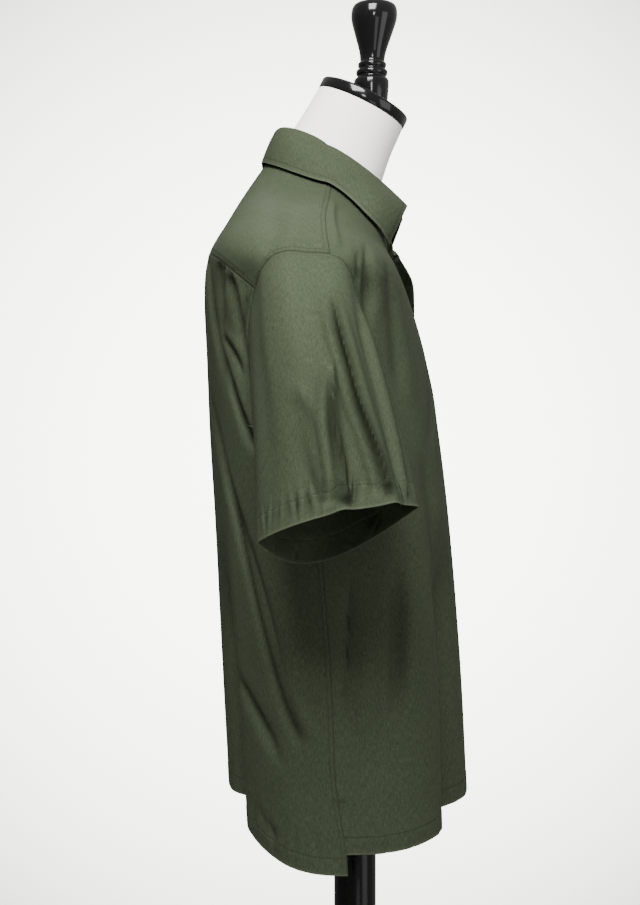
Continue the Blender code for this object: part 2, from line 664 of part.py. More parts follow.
def collar_angles():
    """List the collar's columns, from its right end round the back to its left end."""
    span = 360.0 - 2.0 * NECK_END
    return [NECK_END + span * step / COLLAR_COLUMNS for step in range(COLLAR_COLUMNS + 1)]


def collar_out(angle):
    """Give the level direction that points out of the collar at one angle."""
    ahead = ring_point(COLLAR_FOLD, angle + 1.0) - ring_point(COLLAR_FOLD, angle - 1.0)
    return Vector((0.0, 0.0, 1.0)).cross(Vector((ahead.x, ahead.y, 0.0))).normalized()


def make_stand(cloth):
    """Make the collar stand, a band that rises from the neck seam to the fold."""
    points, normals = [[], [], []], [[], [], []]
    for angle in collar_angles():
        low = base_point(angle, NECK_LEVEL) + Vector((0.0, 0.0, SEAM_GAP))
        high = ring_point(COLLAR_FOLD, angle) - Vector((0.0, 0.0, WALL + FOLD_CLEAR))
        out = collar_out(angle)
        for row, share in enumerate((0.0, 0.5, 1.0)):
            points[row].append(low.lerp(high, share) + out * 0.001 * math.sin(math.pi * share))
            normals[row].append(out)
    return link_mesh("collar_stand", wall_mesh(points, normals), cloth)


def collar_edge_point(angle):
    """Give the lower edge of the collar, which rests on the cloth under it."""
    side = 1.0
    if angle > 180.0:
        side, angle = -1.0, 360.0 - angle
    edge = table_value(COLLAR_EDGE, "angle", "edge_angle", angle) * side
    level = table_value(COLLAR_EDGE, "angle", "edge_level", angle)
    point, normal = body_frame(edge, level)
    return point + normal * (WALL + COLLAR_REST)


def fall_column(angle):
    """Give the outer points of the collar's fall at one angle, from its fold to its edge."""
    top = ring_point(COLLAR_FOLD, angle)
    out = collar_out(angle)
    up = Vector((0.0, 0.0, 1.0))
    shoulder = top + out * FALL_TURN_OUT - up * FALL_TURN_DOWN
    edge = collar_edge_point(angle)
    column = [top - out * 0.0016 - up * 0.0002, top + out * 0.0012]
    back = max(-math.cos(math.radians(angle)), 0.0) ** 2
    fullness = FALL_BULGE_SIDE + (FALL_BULGE_BACK - FALL_BULGE_SIDE) * back
    for share in FALL_STEPS:
        bulge = fullness * math.sin(math.pi * share)
        column.append(shoulder.lerp(edge, share) + (out * 0.6 + up * 0.8) * bulge)
    return column


def column_normals(column, beside):
    """Give the outward normals along one column of the fall from it and its neighbours."""
    normals = []
    last = len(column) - 1
    for index in range(last + 1):
        down = column[min(index + 1, last)] - column[max(index - 1, 0)]
        ahead = beside[1][index] - beside[0][index]
        normals.append(ahead.cross(down).normalized())
    return normals


def make_fall(cloth):
    """Make the collar's fall, folded over the stand and lying on the shoulders."""
    columns = [fall_column(angle) for angle in collar_angles()]
    last = len(columns) - 1
    rows_points = list(zip(*columns))
    normals = [column_normals(column, (columns[max(index - 1, 0)], columns[min(index + 1, last)]))
               for index, column in enumerate(columns)]
    rows_normals = list(zip(*normals))
    return link_mesh("collar_fall", wall_mesh(rows_points, rows_normals), cloth)


def make_button(material):
    """Make the one button that shows, fastened at the foot of the open neck."""
    point, normal = body_frame(0.0, BUTTON_LEVEL)
    turn = Vector((0.0, 0.0, 1.0)).rotation_difference(normal).to_matrix()
    radius = BUTTON_DIAMETER / 2.0
    profile = ((radius * 0.86, SEAM_GAP), (radius, 0.0009), (radius, 0.0019),
               (radius * 0.84, SEAM_GAP + BUTTON_THICKNESS), (radius * 0.62, 0.0022))
    rings = []
    for reach, height in profile:
        rings.append([point + turn @ Vector((reach * math.cos(math.tau * step / BUTTON_SEGMENTS),
                                             reach * math.sin(math.tau * step / BUTTON_SEGMENTS),
                                             height))
                      for step in range(BUTTON_SEGMENTS)])
    return link_mesh("button", loft_mesh(rings), material)


# ---------------------------------------------------------------- the dress form
def form_shoulder_point(angle, level):
    """Give a point of the form's shoulder, close under the yoke along the shoulder line."""
    section = section_at(level)
    drop = (WALL + SEAT_GAP) / math.cos(math.radians(SHOULDER_SLOPE))
    outer = smoothstep((7.7 - level) / 0.7)
    return ring_point(section._replace(
        front_y=CHEST_FRONT_Y,
        back_y=section.back_y - BACK_CLEAR,
        half_width=section.half_width - SHOULDER_NARROW * outer,
        z_front=section.z_front + CHEST_TILT * (level - 7.0),
        z_side=section.z_side - drop - SHOULDER_TUCK * outer,
        z_back=section.z_back - BACK_DROP,
    ), angle)


def tilted_ring(row, segments):
    """List the points of an oval ring that leans forward."""
    tilt = Matrix.Rotation(math.radians(row.tilt), 3, "X")
    centre = Vector((0.0, row.centre_y, row.centre_z))
    ring = []
    for step in range(segments):
        angle = math.tau * step / segments
        ring.append(centre + tilt @ Vector((-row.half_width * math.sin(angle),
                                            -row.half_depth * math.cos(angle), 0.0)))
    return ring


def form_rings():
    """List the rings of the form, from the foot of the torso to the top of the neck."""
    rings = []
    for row in TORSO:
        section = Section("", row.centre_y - row.front, row.centre_y + row.back, row.centre_y,
                          row.half_width, row.z, row.z, row.z, 0.92, 1.0, 1.0)
        rings.append([ring_point(section, 360.0 * step / FORM_SEGMENTS)
                      for step in range(FORM_SEGMENTS)])
    for level in SHOULDER_RINGS:
        rings.append([form_shoulder_point(360.0 * step / FORM_SEGMENTS, level)
                      for step in range(FORM_SEGMENTS)])
    rings += [tilted_ring(row, FORM_SEGMENTS) for row in NECK_RINGS]
    return rings


def neck_axis():
    """Give the middle of the neck's top and the direction that it points in."""
    top = NECK_RINGS[-1]
    lean = math.radians(NECK_TILT)
    return (Vector((0.0, top.centre_y, top.centre_z)),
            Vector((0.0, -math.sin(lean), math.cos(lean))))


def make_cap(material):
    """Make the oval cap that closes the neck."""
    middle, axis = neck_axis()
    rings = []
    for grow, rise in ((-0.0005, 0.0003), (0.0008, 0.0018), (0.0008, 0.0115), (-0.0012, 0.0143)):
        centre = middle + axis * rise
        row = TiltedRing(centre.y, centre.z, NECK_RINGS[-1].half_width + grow,
                         NECK_RINGS[-1].half_depth + grow, NECK_TILT)
        rings.append(tilted_ring(row, FORM_SEGMENTS))
    return link_mesh("form_neck_cap", loft_mesh(rings), material)


def make_finial(material):
    """Make the turned finial that stands on the cap."""
    middle, axis = neck_axis()
    cap_top = middle + axis * (CAP_THICKNESS + 2.0 * SEAM_GAP)

    def turned(radius, z):
        centre_y = FINIAL_Y - FINIAL_LEAN * (z - FINIAL[0].z)
        return [Vector((radius * math.cos(math.tau * step / TURNED_SEGMENTS),
                        centre_y + radius * math.sin(math.tau * step / TURNED_SEGMENTS), z))
                for step in range(TURNED_SEGMENTS)]

    foot = turned(FINIAL_FOOT_RADIUS, FINIAL[0].z)
    for point in foot:
        point.z = cap_top.z - (point.y - cap_top.y) * axis.y / axis.z
    rings = [foot] + [turned(row.radius, row.z) for row in FINIAL]
    apex = Vector((0.0, FINIAL_Y - FINIAL_LEAN * (FINIAL_TOP - FINIAL[0].z), FINIAL_TOP))
    return link_mesh("form_finial", loft_mesh(rings, apex), material)


def make_round(name, profile, segments, material):
    """Make a round, upright piece from its radii and heights."""
    rings = [[Vector((radius * math.cos(math.tau * step / segments),
                      radius * math.sin(math.tau * step / segments), z))
              for step in range(segments)] for radius, z in profile]
    return link_mesh(name, loft_mesh(rings), material)


def make_form(cream, black):
    """Make the dress form, its pole and its base."""
    link_mesh("form_torso", loft_mesh(form_rings()), cream)
    make_cap(black)
    make_finial(black)
    radius = POLE_DIAMETER / 2.0
    base_top = BASE_THICKNESS + 0.002
    make_round("form_pole", ((radius, base_top + JOINT_GAP), (radius, TORSO_BOTTOM - JOINT_GAP)),
               POLE_SEGMENTS, black)
    make_round("form_base", ((BASE_RADIUS - 0.002, 0.0), (BASE_RADIUS, 0.002),
                             (BASE_RADIUS, BASE_THICKNESS - 0.006),
                             (BASE_RADIUS - 0.005, BASE_THICKNESS), (0.030, base_top)),
               BASE_SEGMENTS, black)


def make_shirt(cloth, horn):
    """Make every piece of the shirt."""
    make_front("front_right", 1, cloth)
    make_front("front_left", -1, cloth)
    make_back(cloth)
    make_yoke(cloth)
    make_sleeve("sleeve_right", 1, SLEEVE_FOLDS_RIGHT, cloth)
    make_sleeve("sleeve_left", -1, SLEEVE_FOLDS_LEFT, cloth)
    make_stand(cloth)
    make_fall(cloth)
    make_button(horn)


def main():
    """Clear the scene and build the shirt and its form."""
    for old in list(bpy.data.objects):
        bpy.data.objects.remove(old)
    cloth = new_material("olive cloth", (0.085, 0.098, 0.062), 0.72)
    horn = new_material("dark button", (0.020, 0.022, 0.018), 0.35)
    cream = new_material("cream form cover", (0.86, 0.83, 0.76), 0.6)
    black = new_material("black lacquer", (0.010, 0.009, 0.009), 0.15)
    make_shirt(cloth, horn)
    make_form(cream, black)


main()
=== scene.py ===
"""Looks of an oversized short-sleeved shirt on a limbless dress form.

Metres, +Z up; the wearer's front faces -Y and the wearer's right is -X. Each cloth piece of
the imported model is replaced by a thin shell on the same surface, with its creases, seams,
hems and stitching. The form's pieces are replaced by smoother ones of the same sizes.
"""
import logging
import math
from dataclasses import astuple, dataclass, field, replace
from enum import Enum
from typing import Callable, Iterator, Sequence

import bmesh
import bpy
import numpy as np
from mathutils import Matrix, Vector


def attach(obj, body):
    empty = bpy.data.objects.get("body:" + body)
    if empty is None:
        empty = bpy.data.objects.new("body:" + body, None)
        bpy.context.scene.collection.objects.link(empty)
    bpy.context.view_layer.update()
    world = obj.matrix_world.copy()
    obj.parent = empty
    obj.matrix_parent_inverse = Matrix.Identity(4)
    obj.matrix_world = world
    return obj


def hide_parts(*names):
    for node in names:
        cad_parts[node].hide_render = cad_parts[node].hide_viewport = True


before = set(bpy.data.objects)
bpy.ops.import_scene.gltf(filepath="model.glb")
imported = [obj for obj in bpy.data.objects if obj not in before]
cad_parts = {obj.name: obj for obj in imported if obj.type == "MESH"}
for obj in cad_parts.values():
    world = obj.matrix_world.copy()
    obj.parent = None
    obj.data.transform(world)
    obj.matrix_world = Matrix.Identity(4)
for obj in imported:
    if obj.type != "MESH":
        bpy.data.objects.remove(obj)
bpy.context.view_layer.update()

Array = np.ndarray
Object = bpy.types.Object
NodeTree = bpy.types.NodeTree
Material = bpy.types.Material
Socket = bpy.types.NodeSocket
Place = tuple[float, float, float]

LOG = logging.getLogger("shirt")
ROOT = "root"
UP = np.array([0.0, 0.0, 1.0])
MIRROR = np.array([-1.0, 1.0, 1.0])

# ---- sizes shared with the solids
# Angles are in degrees from the centre front, levels count the rings of the body upwards.
CLOTH = 0.0011             # thickness of the shell that shows
SEAM_GAP = 0.0004
LAP = 0.0028               # the right front lies this far under the left one
CELL = 0.003              # the usual spacing of a cloth mesh
FINE_CELL = 0.0017         # the same on the sleeves
NECK_END = 40.0
YOKE_SEAM_LOW = 82.0
YOKE_SEAM_HIGH = 88.0
SIDE_SEAM = 92.5
VENT_SHIFT = -2.4
VENT_TOP = 0.36            # the level where the side vent begins
UNDERARM_LEVEL = 3.0
NECK_LEVEL = 9.0
SHOULDER_LEVEL = 6.0
BACK_SEAM_LEVEL = 5.05
HEM_FRONT_LEVEL = 0.06
HEM_BACK_LEVEL = -0.06
EDGE_LIFT = 0.019          # how far the open left edge stands forward
EDGE_LIFT_FROM = 4.4
EDGE_LIFT_RUN = 1.6
EDGE_LIFT_WIDTH = 16.0
UNDERLAP_END = 4.75
UNDERLAP_RUN = 6.0
BUTTON_LEVEL = 4.47
BUTTON_RADIUS = 0.00575
BUTTON_THICKNESS = 0.0026
TOPSTITCH = 0.0055         # from a seam to the stitching beside it
STITCH_LIFT = 0.00012      # how far a row of stitches lies above the cloth
BODY_HEM = 0.018
SLEEVE_HEM_WIDTH = 0.025
SLEEVE_HEM_SHARE = 0.925   # where that hem is stitched, as a share of the sleeve
FLY_WIDTH = 0.032          # from the front edge to the stitching of the hidden buttons


class Border(Enum):
    """The four borders of a grid of cloth."""

    BOTTOM = "bottom"
    TOP = "top"
    LEFT = "left"
    RIGHT = "right"


class Side(Enum):
    """The wearer's two sides."""

    RIGHT = 1
    LEFT = -1

    @property
    def word(self) -> str:
        """Name the side as the nodes do."""
        return "right" if self is Side.RIGHT else "left"


# ---- tables
@dataclass(frozen=True)
class Ring:
    """One level ring of the body, a rounded square whose height bends to front and back."""

    front_y: float
    back_y: float
    side_y: float
    half_width: float
    z_front: float
    z_side: float
    z_back: float
    corner: float
    rise_front: float = 1.0
    rise_back: float = 1.0

    def row(self) -> list[float]:
        """List the ring's numbers in order."""
        return list(astuple(self))


BODY_RINGS = (
    Ring(-0.131, 0.15, 0.012, 0.245, 0.752, 0.715, 0.78, 0.8, 2.4, 2.2),
    Ring(-0.1235, 0.157, 0.018, 0.245, 0.9, 0.9, 0.9, 0.8),
    Ring(-0.112, 0.165, 0.03, 0.243, 1.05, 1.05, 1.05, 0.8),
    Ring(-0.099, 0.1715, 0.04, 0.24, 1.165, 1.14, 1.165, 0.8),
    Ring(-0.0845, 0.1745, 0.05, 0.243, 1.25, 1.235, 1.26, 0.8),
    Ring(-0.066, 0.1755, 0.055, 0.257, 1.315, 1.31, 1.333, 0.78),
    Ring(-0.0507, 0.1695, 0.055, 0.266, 1.355, 1.357, 1.379, 0.75),
    Ring(-0.0387, 0.152, 0.05, 0.205, 1.382, 1.405, 1.417, 0.8),
    Ring(-0.0425, 0.134, 0.04, 0.13, 1.398, 1.44, 1.452, 0.82),
    Ring(-0.0573, 0.103, 0.0325, 0.078, 1.396, 1.468, 1.5, 0.85),
)
COLLAR_FOLD = Ring(-0.078, 0.0915, 0.035, 0.072, 1.42, 1.505, 1.533, 0.8, 1, 0.6)

# Level, then the distance of the right and of the left front's edge from the centre front.
FRONT_EDGES = (
    (-1, 0.014, -0.017), (4, 0.014, -0.017), (4.47, 0.013, -0.016), (4.75, -0.004, -0.006),
    (5, -0.02, 0.002), (6, -0.04, 0.022), (7, -0.055, 0.04), (8, -0.0575, 0.052),
    (9, -0.0553, 0.0553),
)

# Angle, level and sleeve turn of the armhole's places, from the underarm over the shoulder.
ARMHOLE = (
    (92.5, 3, 180), (86, 3.07, 167), (80, 3.3, 151), (75, 3.7, 130),
    (72, 4.2, 108), (70.5, 4.7, 88), (70.5, 5.2, 66), (72.5, 5.6, 45),
    (76.5, 5.88, 28), (YOKE_SEAM_LOW, SHOULDER_LEVEL, 14), (89, 6.03, 0),
    (96, 6, -11), (103, 5.85, -23), (107.5, 5.5, -38),
    (111.5, BACK_SEAM_LEVEL, -58), (115, 4.6, -80), (116, 4.2, -100),
    (113.5, 3.75, -122), (108, 3.35, -145), (101, 3.08, -164), (92.5, 3, -180),
)
FRONT_YOKE_INDEX = 9
BACK_YOKE_INDEX = 14
UNDERARM_INDEX = 20


@dataclass(frozen=True)
class Fold:
    """A large fold of the solids: a straight trough or ridge between two places."""

    level_a: float
    angle_a: float
    level_b: float
    angle_b: float
    bow: float
    width: float
    height: float
    fade_a: float
    fade_b: float


BODY_FOLDS = tuple(Fold(*row) for row in (
    (-0.3, 33, 2.3, 29, 0, 12, -0.03, 0, 0.4),
    (-0.3, -37, 2.2, -33, 0, 12, -0.027, 0, 0.4),
    (-0.3, 151, 2.1, 158, 0, 9, -0.024, 0, 0.4),
    (-0.3, -149, 2, -157, 0, 9.5, -0.022, 0, 0.4),
    (0.58, 102, 3.75, 161, 0, 4.5, -0.011, 0.3, 0.4),
    (0.85, -109, 3.6, -157, 0, 5, -0.009, 0.3, 0.4),
    (2.95, 117.5, 4.1, 138, 0, 4, -0.007, 0.2, 0.4),
    (3.05, -119, 4.4, -140, 0, 4.5, -0.006, 0.2, 0.4),
    (3.5, 119, 5.32, 129, -1.5, 3.8, -0.006, 0.4, 0.15),
    (3.3, -120, 5.34, -131, 1.5, 4.2, -0.006, 0.4, 0.15),
    (4.2, 137, 5.62, 140, 0, 3.5, -0.005, 0.6, 0.15),
    (4, -138, 5.66, -142, 0, 3.5, -0.005, 0.6, 0.15),
    (3.4, 133, 5.9, 163, 0, 5, -0.006, 0.4, 0.12),
    (3.7, -137, 5.9, -161, 0, 5, -0.005, 0.4, 0.12),
    (0.45, 113, 1.15, 147, 0, 5, -0.006, 0.3, 0.3),
    (0.6, 73, 2.1, 63, 0, 5.5, -0.007, 0.4, 0.4),
    (0.5, -70, 2.3, -62, 0, 6, -0.007, 0.4, 0.4),
    (4.2, 67, 6.6, 57, 0, 4, -0.005, 0.4, 0.3),
    (4, -65, 6.6, -56, 0, 4, -0.005, 0.4, 0.3),
    (0.55, 90, 1.9, 85.5, 0, 3.2, -0.004, 0.3, 0.4),
))
SLEEVE_FOLDS = {
    Side.RIGHT: (
        Fold(0.05, 10, 1.05, 42, 2, 10, -0.008, 0.4, 0),
        Fold(0.42, 6, 1.05, 5, -3, 8, -0.006, 0.4, 0),
        Fold(0.45, -26, 1.05, -2, 0, 9, -0.004, 0.4, 0.3),
    ),
    Side.LEFT: (
        Fold(0.12, 14, 1.05, 38, 0, 11, -0.007, 0.4, 0),
        Fold(0.38, -4, 1.05, 2, 3, 9, -0.006, 0.4, 0),
        Fold(0.25, -48, 1.05, -26, 0, 10, -0.005, 0.4, 0.3),
    ),
}


@dataclass(frozen=True)
class Crease:
    """A soft trough along a path, with a ridge on one side, by the ridge's sign.

    The path's places are angle and level on the body, turn and share on a sleeve. Width and
    depth are in metres; a negative depth is a ridge. Fades are shares of its length, crisp is
    how sharp its middle is and how much painted shade darkens it, and spread how many times
    wider it ends.
    """

    path: tuple[tuple[float, float], ...]
    width: float
    depth: float
    ridge: float = 0.45
    fade_in: float = 0.3
    fade_out: float = 0.3
    crisp: float = 0.1
    spread: float = 1.0


BODY_CREASES = tuple(Crease(*row) for row in (
    (((134, 5.5), (134.6, 5.05), (134.8, 4.55)), 0.0034, 0.0026, 0.5, 0.1, 0.5, 0.6),
    (((128.5, 5.26), (124, 4.93), (121.5, 4.3), (119, 3.7)), 0.0048, 0.0036, 0.6, 0.1, 0.4, 0.6),
    (((116.5, 4.95), (118.5, 4.6), (120.5, 4.1)), 0.0034, 0.002, 0.4, 0.2, 0.5, 0.6),
    (((165, 5.9), (150, 4.5), (135, 3.74)), 0.0085, 0.0046, 0.5, 0.2, 0.3),
    (((137.5, 4.3), (128, 4.08), (121.5, 3.75)), 0.005, 0.0032, 0.5, 0.3, 0.3, 0.4),
    (((139, 4.1), (130.6, 3.59), (123.2, 3.25), (116, 2.95)), 0.0062, 0.0044, 0.6, 0.25, 0.15,
     0.5),
    (((147, 3.1), (141.1, 2.62), (132.6, 2.02), (126.6, 1.66), (120.5, 1.32), (112.3, 0.91),
      (103, 0.62)), 0.0066, 0.0046, 0.7, 0.3, 0.08, 0.5),
    (((142, 0.95), (130, 0.8), (121, 0.69), (115, 0.55)), 0.012, 0.0018, 0.4),
    (((131, 0.19), (124, 0.09), (116, 0.05)), 0.006, 0.0018, 0.4),
    (((161.8, 1.6), (158.6, 0.8), (157, -0.1)), 0.012, 0.005, 0.4, 0.4, 0),
    (((64, 1.9), (68, 1.3), (71.4, 0.75)), 0.011, 0.0034, 0.4),
    (((78.8, 1.1), (79.8, 0.62)), 0.005, 0.0014, 0.3),
    (((64.6, 6.3), (66.5, 5.7), (68.1, 5.2)), 0.006, 0.0036, 0.4),
    (((57.5, 6.1), (61, 5.35), (65, 4.6)), 0.009, 0.0036, 0.4),
    (((85.8, 1.8), (88.6, 1.25), (90.2, 0.78)), 0.0032, 0.0019, 0.4, 0.3, 0.3, 0.4),
    (((108.5, 7.4), (104.6, 6.6), (104, 5.95), (105.5, 5.35)), 0.0105, 0.0034, 0.4, 0.35, 0.2, 0),
    (((38, 6.4), (49.5, 4.51), (54, 3.4)), 0.013, 0.0036, 0.4),
    (((84, 8.1), (80.5, 7.1), (77.5, 6.2)), 0.0042, -0.0022, 0.2, 0.3, 0.1),
    (((176, 5.9), (172, 3.9), (174, 1.6)), 0.022, 0.005, 0.4, 0.1, 0.4),
    (((150, 2.2), (147, 1.3), (146, 0.5)), 0.014, 0.0028, 0.4),
    (((45, 3), (41, 2.1), (40, 1.2)), 0.016, 0.0036, 0.4),
    (((12, 4.2), (24, 3.4), (38, 2.9)), 0.012, 0.0022, 0.4),
    (((-133, 5.45), (-134, 5), (-133, 4.4)), 0.0036, 0.0024, -0.5, 0.1, 0.5, 0.6),
    (((-127, 5.2), (-122.5, 4.6), (-119, 3.8)), 0.0052, 0.0034, -0.5, 0.1, 0.4, 0.6),
    (((-161, 5.9), (-150, 4.7), (-137, 3.9)), 0.008, 0.0042, -0.5, 0.2, 0.3),
    (((-140, 4.3), (-129, 3.6), (-117, 3.05)), 0.0064, 0.0044, -0.6, 0.25, 0.15, 0.5),
    (((-148, 3.2), (-137, 2.4), (-124, 1.55), (-110, 0.9)), 0.0064, 0.0046, -0.6, 0.3, 0.1, 0.7),
    (((-140, 1.15), (-127, 0.85), (-113, 0.62)), 0.01, 0.0036, -0.4),
    (((-160, 1.8), (-156, 0.9), (-155, -0.1)), 0.012, 0.0046, -0.4, 0.4, 0),
    (((-170, 5.2), (-166, 3), (-170, 1)), 0.02, 0.0044, -0.4, 0.2, 0.4),
    (((-62, 2.1), (-68, 1.35), (-70, 0.6)), 0.011, 0.0036, -0.4),
    (((-86, 1.6), (-89.5, 1.1), (-90.5, 0.7)), 0.0034, 0.0018, -0.4, 0.3, 0.3, 0.4),
    (((-56, 6.2), (-61, 5.3), (-66, 4.5)), 0.0085, 0.0038, -0.4),
    (((-37, 6.3), (-47, 4.6), (-52, 3.2)), 0.013, 0.0034, -0.4),
    (((-106, 7.05), (-103, 6.3), (-105, 5.45)), 0.006, 0.0036, -0.5, 0.1, 0.2),
    (((-12, 4.1), (-27, 3.3), (-43, 2.5)), 0.012, 0.0024, -0.4),
    (((-20, 2.6), (-22, 1.6), (-19, 0.6)), 0.015, 0.0026, -0.4),
))
SLEEVE_CREASES = {
    Side.RIGHT: (
        Crease(((11.5, 0.12), (13, 0.25), (16, 0.36), (19.5, 0.46), (23, 0.58),
                (28, 0.7), (34, 0.84), (37, 0.97)), 0.0056, 0.0062, 0.9, 0.3, 0.05, 0.9),
        Crease(((9, 0.42), (3, 0.64), (5, 0.84), (6, 0.98)), 0.0044, 0.0056, 0.9, 0.3,
               0.05, 0.8, 1.8),
        Crease(((-18, 0.5), (-10, 0.66), (-7, 0.92)), 0.007, 0.004, 0.6, 0.4, 0.1, 0.3),
        Crease(((-48, 0.12), (-38, 0.5), (-32, 0.85)), 0.015, 0.0014, 0.4),
        Crease(((58, 0.1), (62, 0.5), (58, 0.97)), 0.0062, 0.0044, 0.5, 0.3, 0.1, 0.4),
        Crease(((-150, 0.3), (-146, 0.95)), 0.012, 0.003, 0.4, 0.4, 0.1),
        Crease(((152, 0.25), (140, 0.95)), 0.012, 0.004, 0.4, 0.4, 0.1),
    ),
    Side.LEFT: (
        Crease(((15, 0.12), (22, 0.4), (31, 0.62), (36, 0.97)), 0.006, 0.0048, -0.6,
               0.3, 0.05),
        Crease(((2, 0.4), (-3, 0.62), (2, 0.97)), 0.0056, 0.0046, -0.5, 0.35, 0.05),
        Crease(((-46, 0.22), (-34, 0.6), (-26, 0.92)), 0.01, 0.0036, -0.4),
        Crease(((55, 0.15), (60, 0.5), (52, 0.97)), 0.011, 0.0034, -0.4, 0.3, 0.1),
        Crease(((-152, 0.3), (-143, 0.95)), 0.013, 0.0032, -0.4, 0.4, 0.1),
        Crease(((148, 0.25), (143, 0.95)), 0.012, 0.0036, -0.4, 0.4, 0.1),
    ),
}
# Turn and depth of the small puckers where the sleeve's hem is stitched.
SLEEVE_PUCKERS = {
    Side.RIGHT: ((-66, 0.8), (-56, 1), (-42, 0.7), (-33, 0.8), (-26, 1.3),
                 (-17, 1.3), (-9, 1), (4, 1.5), (10, 1.2), (14, 0.9), (30, 0.4),
                 (49, 1.4), (57, 1.5), (75, 0.8), (118, 0.7), (141, 1),
                 (158, 0.8), (-120, 0.9), (-139, 0.7), (-161, 1)),
    Side.LEFT: ((-70, 0.9), (-51, 1.1), (-38, 0.6), (-22, 1.2), (-13, 1),
                (1, 1.4), (9, 1), (27, 0.7), (44, 1.3), (55, 1.1), (79, 0.9),
                (111, 0.8), (137, 1), (160, 0.7), (-117, 0.9), (-144, 0.9),
                (-166, 0.6)),
}
# Angle and depth of the puckers where the body's hem is stitched.
HEM_PUCKERS = (
    (95.5, 0.7), (99.5, 1.2), (103.5, 0.8), (109, 1.2), (114, 0.6), (121, 1.1), (133, 0.9),
    (146, 0.7), (163, 0.9), (182, 0.6), (-160, 0.9), (-141, 0.7), (-127, 1.1),
    (-112, 0.8), (-104, 1.2), (-98, 0.8), (86, 0.7), (78, 1), (66, 0.6),
    (49, 0.8), (21, 0.6), (-24, 0.7), (-47, 0.6), (-68, 0.9), (-83, 0.8),
)
PUCKER_DEPTH = 0.0017

# The sleeve's hem: its middle, and its half sizes outward, inward and forward.
HEM_CENTRE = np.array([-0.33, 0.024, 1.077])
HEM_OUTER = np.array([-0.055, 0.0015, 0.014])
HEM_INNER = np.array([0.055, 0.018, -0.04])
HEM_FORWARD = np.array([0, -0.081, 0.018])
HEM_LENS_OUTER = 1.45
HEM_LENS_INNER = 2.2
SLEEVE_TOP_RUN = np.array([-0.77, -0.02, -0.64])
SLEEVE_END_RUN = np.array([-0.4, -0.03, -0.92])
SLEEVE_ROUND = 0.38
SLEEVE_LAP_TURNS = (45, 90)
SLEEVE_LAP_LEAVE = 0.6

# Angle on the collar, then the angle and level on the body where its edge lies.
COLLAR_EDGE = (
    (40, 24, 7.1), (48, 40, 7.55), (57, 58, 7.88), (70, 75, 8.28),
    (90, 90, 8.5), (125, 125, 8.7), (180, 180, 8.86),
)
COLLAR_REST = 0.0022
FALL_BULGE_SIDE = 0.006
FALL_BULGE_BACK = 0.001
FALL_TURN_OUT = 0.0042
FALL_TURN_DOWN = 0.003
FOLD_CLEAR = 0.0013


# ---- curves
def smoothstep(value: Array) -> Array:
    """Ease numbers from 0 to 1."""
    value = np.clip(value, 0.0, 1.0)
    return value * value * (3.0 - 2.0 * value)


def unit(vectors: Array) -> Array:
    """Scale vectors to length 1."""
    length = np.linalg.norm(vectors, axis=-1, keepdims=True)
    return vectors / np.maximum(length, 1e-12)


def bell(away: Array) -> Array:
    """Give a soft peak of height 1 round 0."""
    return np.exp(-away ** 2)


def wrapped(angle: Array) -> Array:
    """Bring angles between -180 and 180 degrees."""
    return (angle + 180.0) % 360.0 - 180.0


def faded(share: Array, fade_in: float, fade_out: float) -> Array:
    """Fade in and out along something, by shares of its length."""
    fade = np.ones(share.shape)
    if fade_in:
        fade = fade * smoothstep(share / fade_in)
    if fade_out:
        fade = fade * smoothstep((1.0 - share) / fade_out)
    return fade


SurfaceCall = Callable[[Array, Array], Array]


def normals_of(points_at: SurfaceCall, first: Array, second: Array, step_a: float,
               step_b: float) -> Array:
    """Give a surface's outward normals from its slopes both ways.

    Args:
        points_at: gives the surface's points.
        first, second: the places.
        step_a, step_b: how far to step to each side of them.

    Returns:
        One normal for each place.
    """
    across = points_at(first + step_a, second) - points_at(first - step_a, second)
    along = points_at(first, second + step_b) - points_at(first, second - step_b)
    return unit(np.cross(along, across))


def catmull(values: Array, place: Array) -> Array:
    """Read smooth curves through evenly spaced rows of values.

    Args:
        values: one row for each whole place.
        place: the places to read; past the ends the curve runs on straight.

    Returns:
        One row for each place.
    """
    last = len(values) - 1
    index = np.clip(np.floor(place).astype(int), 0, last - 1)
    part = (place - index)[..., None]
    padded = np.vstack([2.0 * values[0] - values[1], values, 2.0 * values[-1] - values[-2]])
    before, here, there, after = (padded[index + step] for step in range(4))
    curve = 0.5 * (
        2.0 * here + (there - before) * part + (2.0 * before - 5.0 * here + 4.0 * there - after) *
        part ** 2 + (3.0 * here - before - 3.0 * there + after) * part ** 3)
    return np.where((part < 0.0) | (part > 1.0), here + (there - here) * part, curve)


def table_value(table: Sequence[Sequence[float]], column: int, value: Array) -> Array:
    """Read one column of a table, whose first column is the key, eased between its rows."""
    keys = np.array([row[0] for row in table])
    values = np.array([[row[column]] for row in table])
    place = np.interp(value, keys, np.arange(len(keys)))
    return catmull(values, place)[..., 0]


def fold_height(folds: Sequence[Fold], angle: Array, level: Array) -> Array:
    """Add up how far the large folds raise or sink places of a surface."""
    height = np.zeros(np.broadcast(angle, level).shape)
    for fold in folds:
        share = (level - fold.level_a) / (fold.level_b - fold.level_a)
        centre = fold.angle_a + (fold.angle_b - fold.angle_a) * share
        centre = centre + fold.bow * 4.0 * share * (1.0 - share)
        away = wrapped(angle - centre)
        fade = ((share > 0.0) & (share < 1.0)) * (np.abs(away) < 2.5 * fold.width)
        fade = fade * faded(share, fold.fade_a, fold.fade_b)
        height = height + fold.height * fade * np.exp(-(away / fold.width) ** 2 * 1.6)
    return height


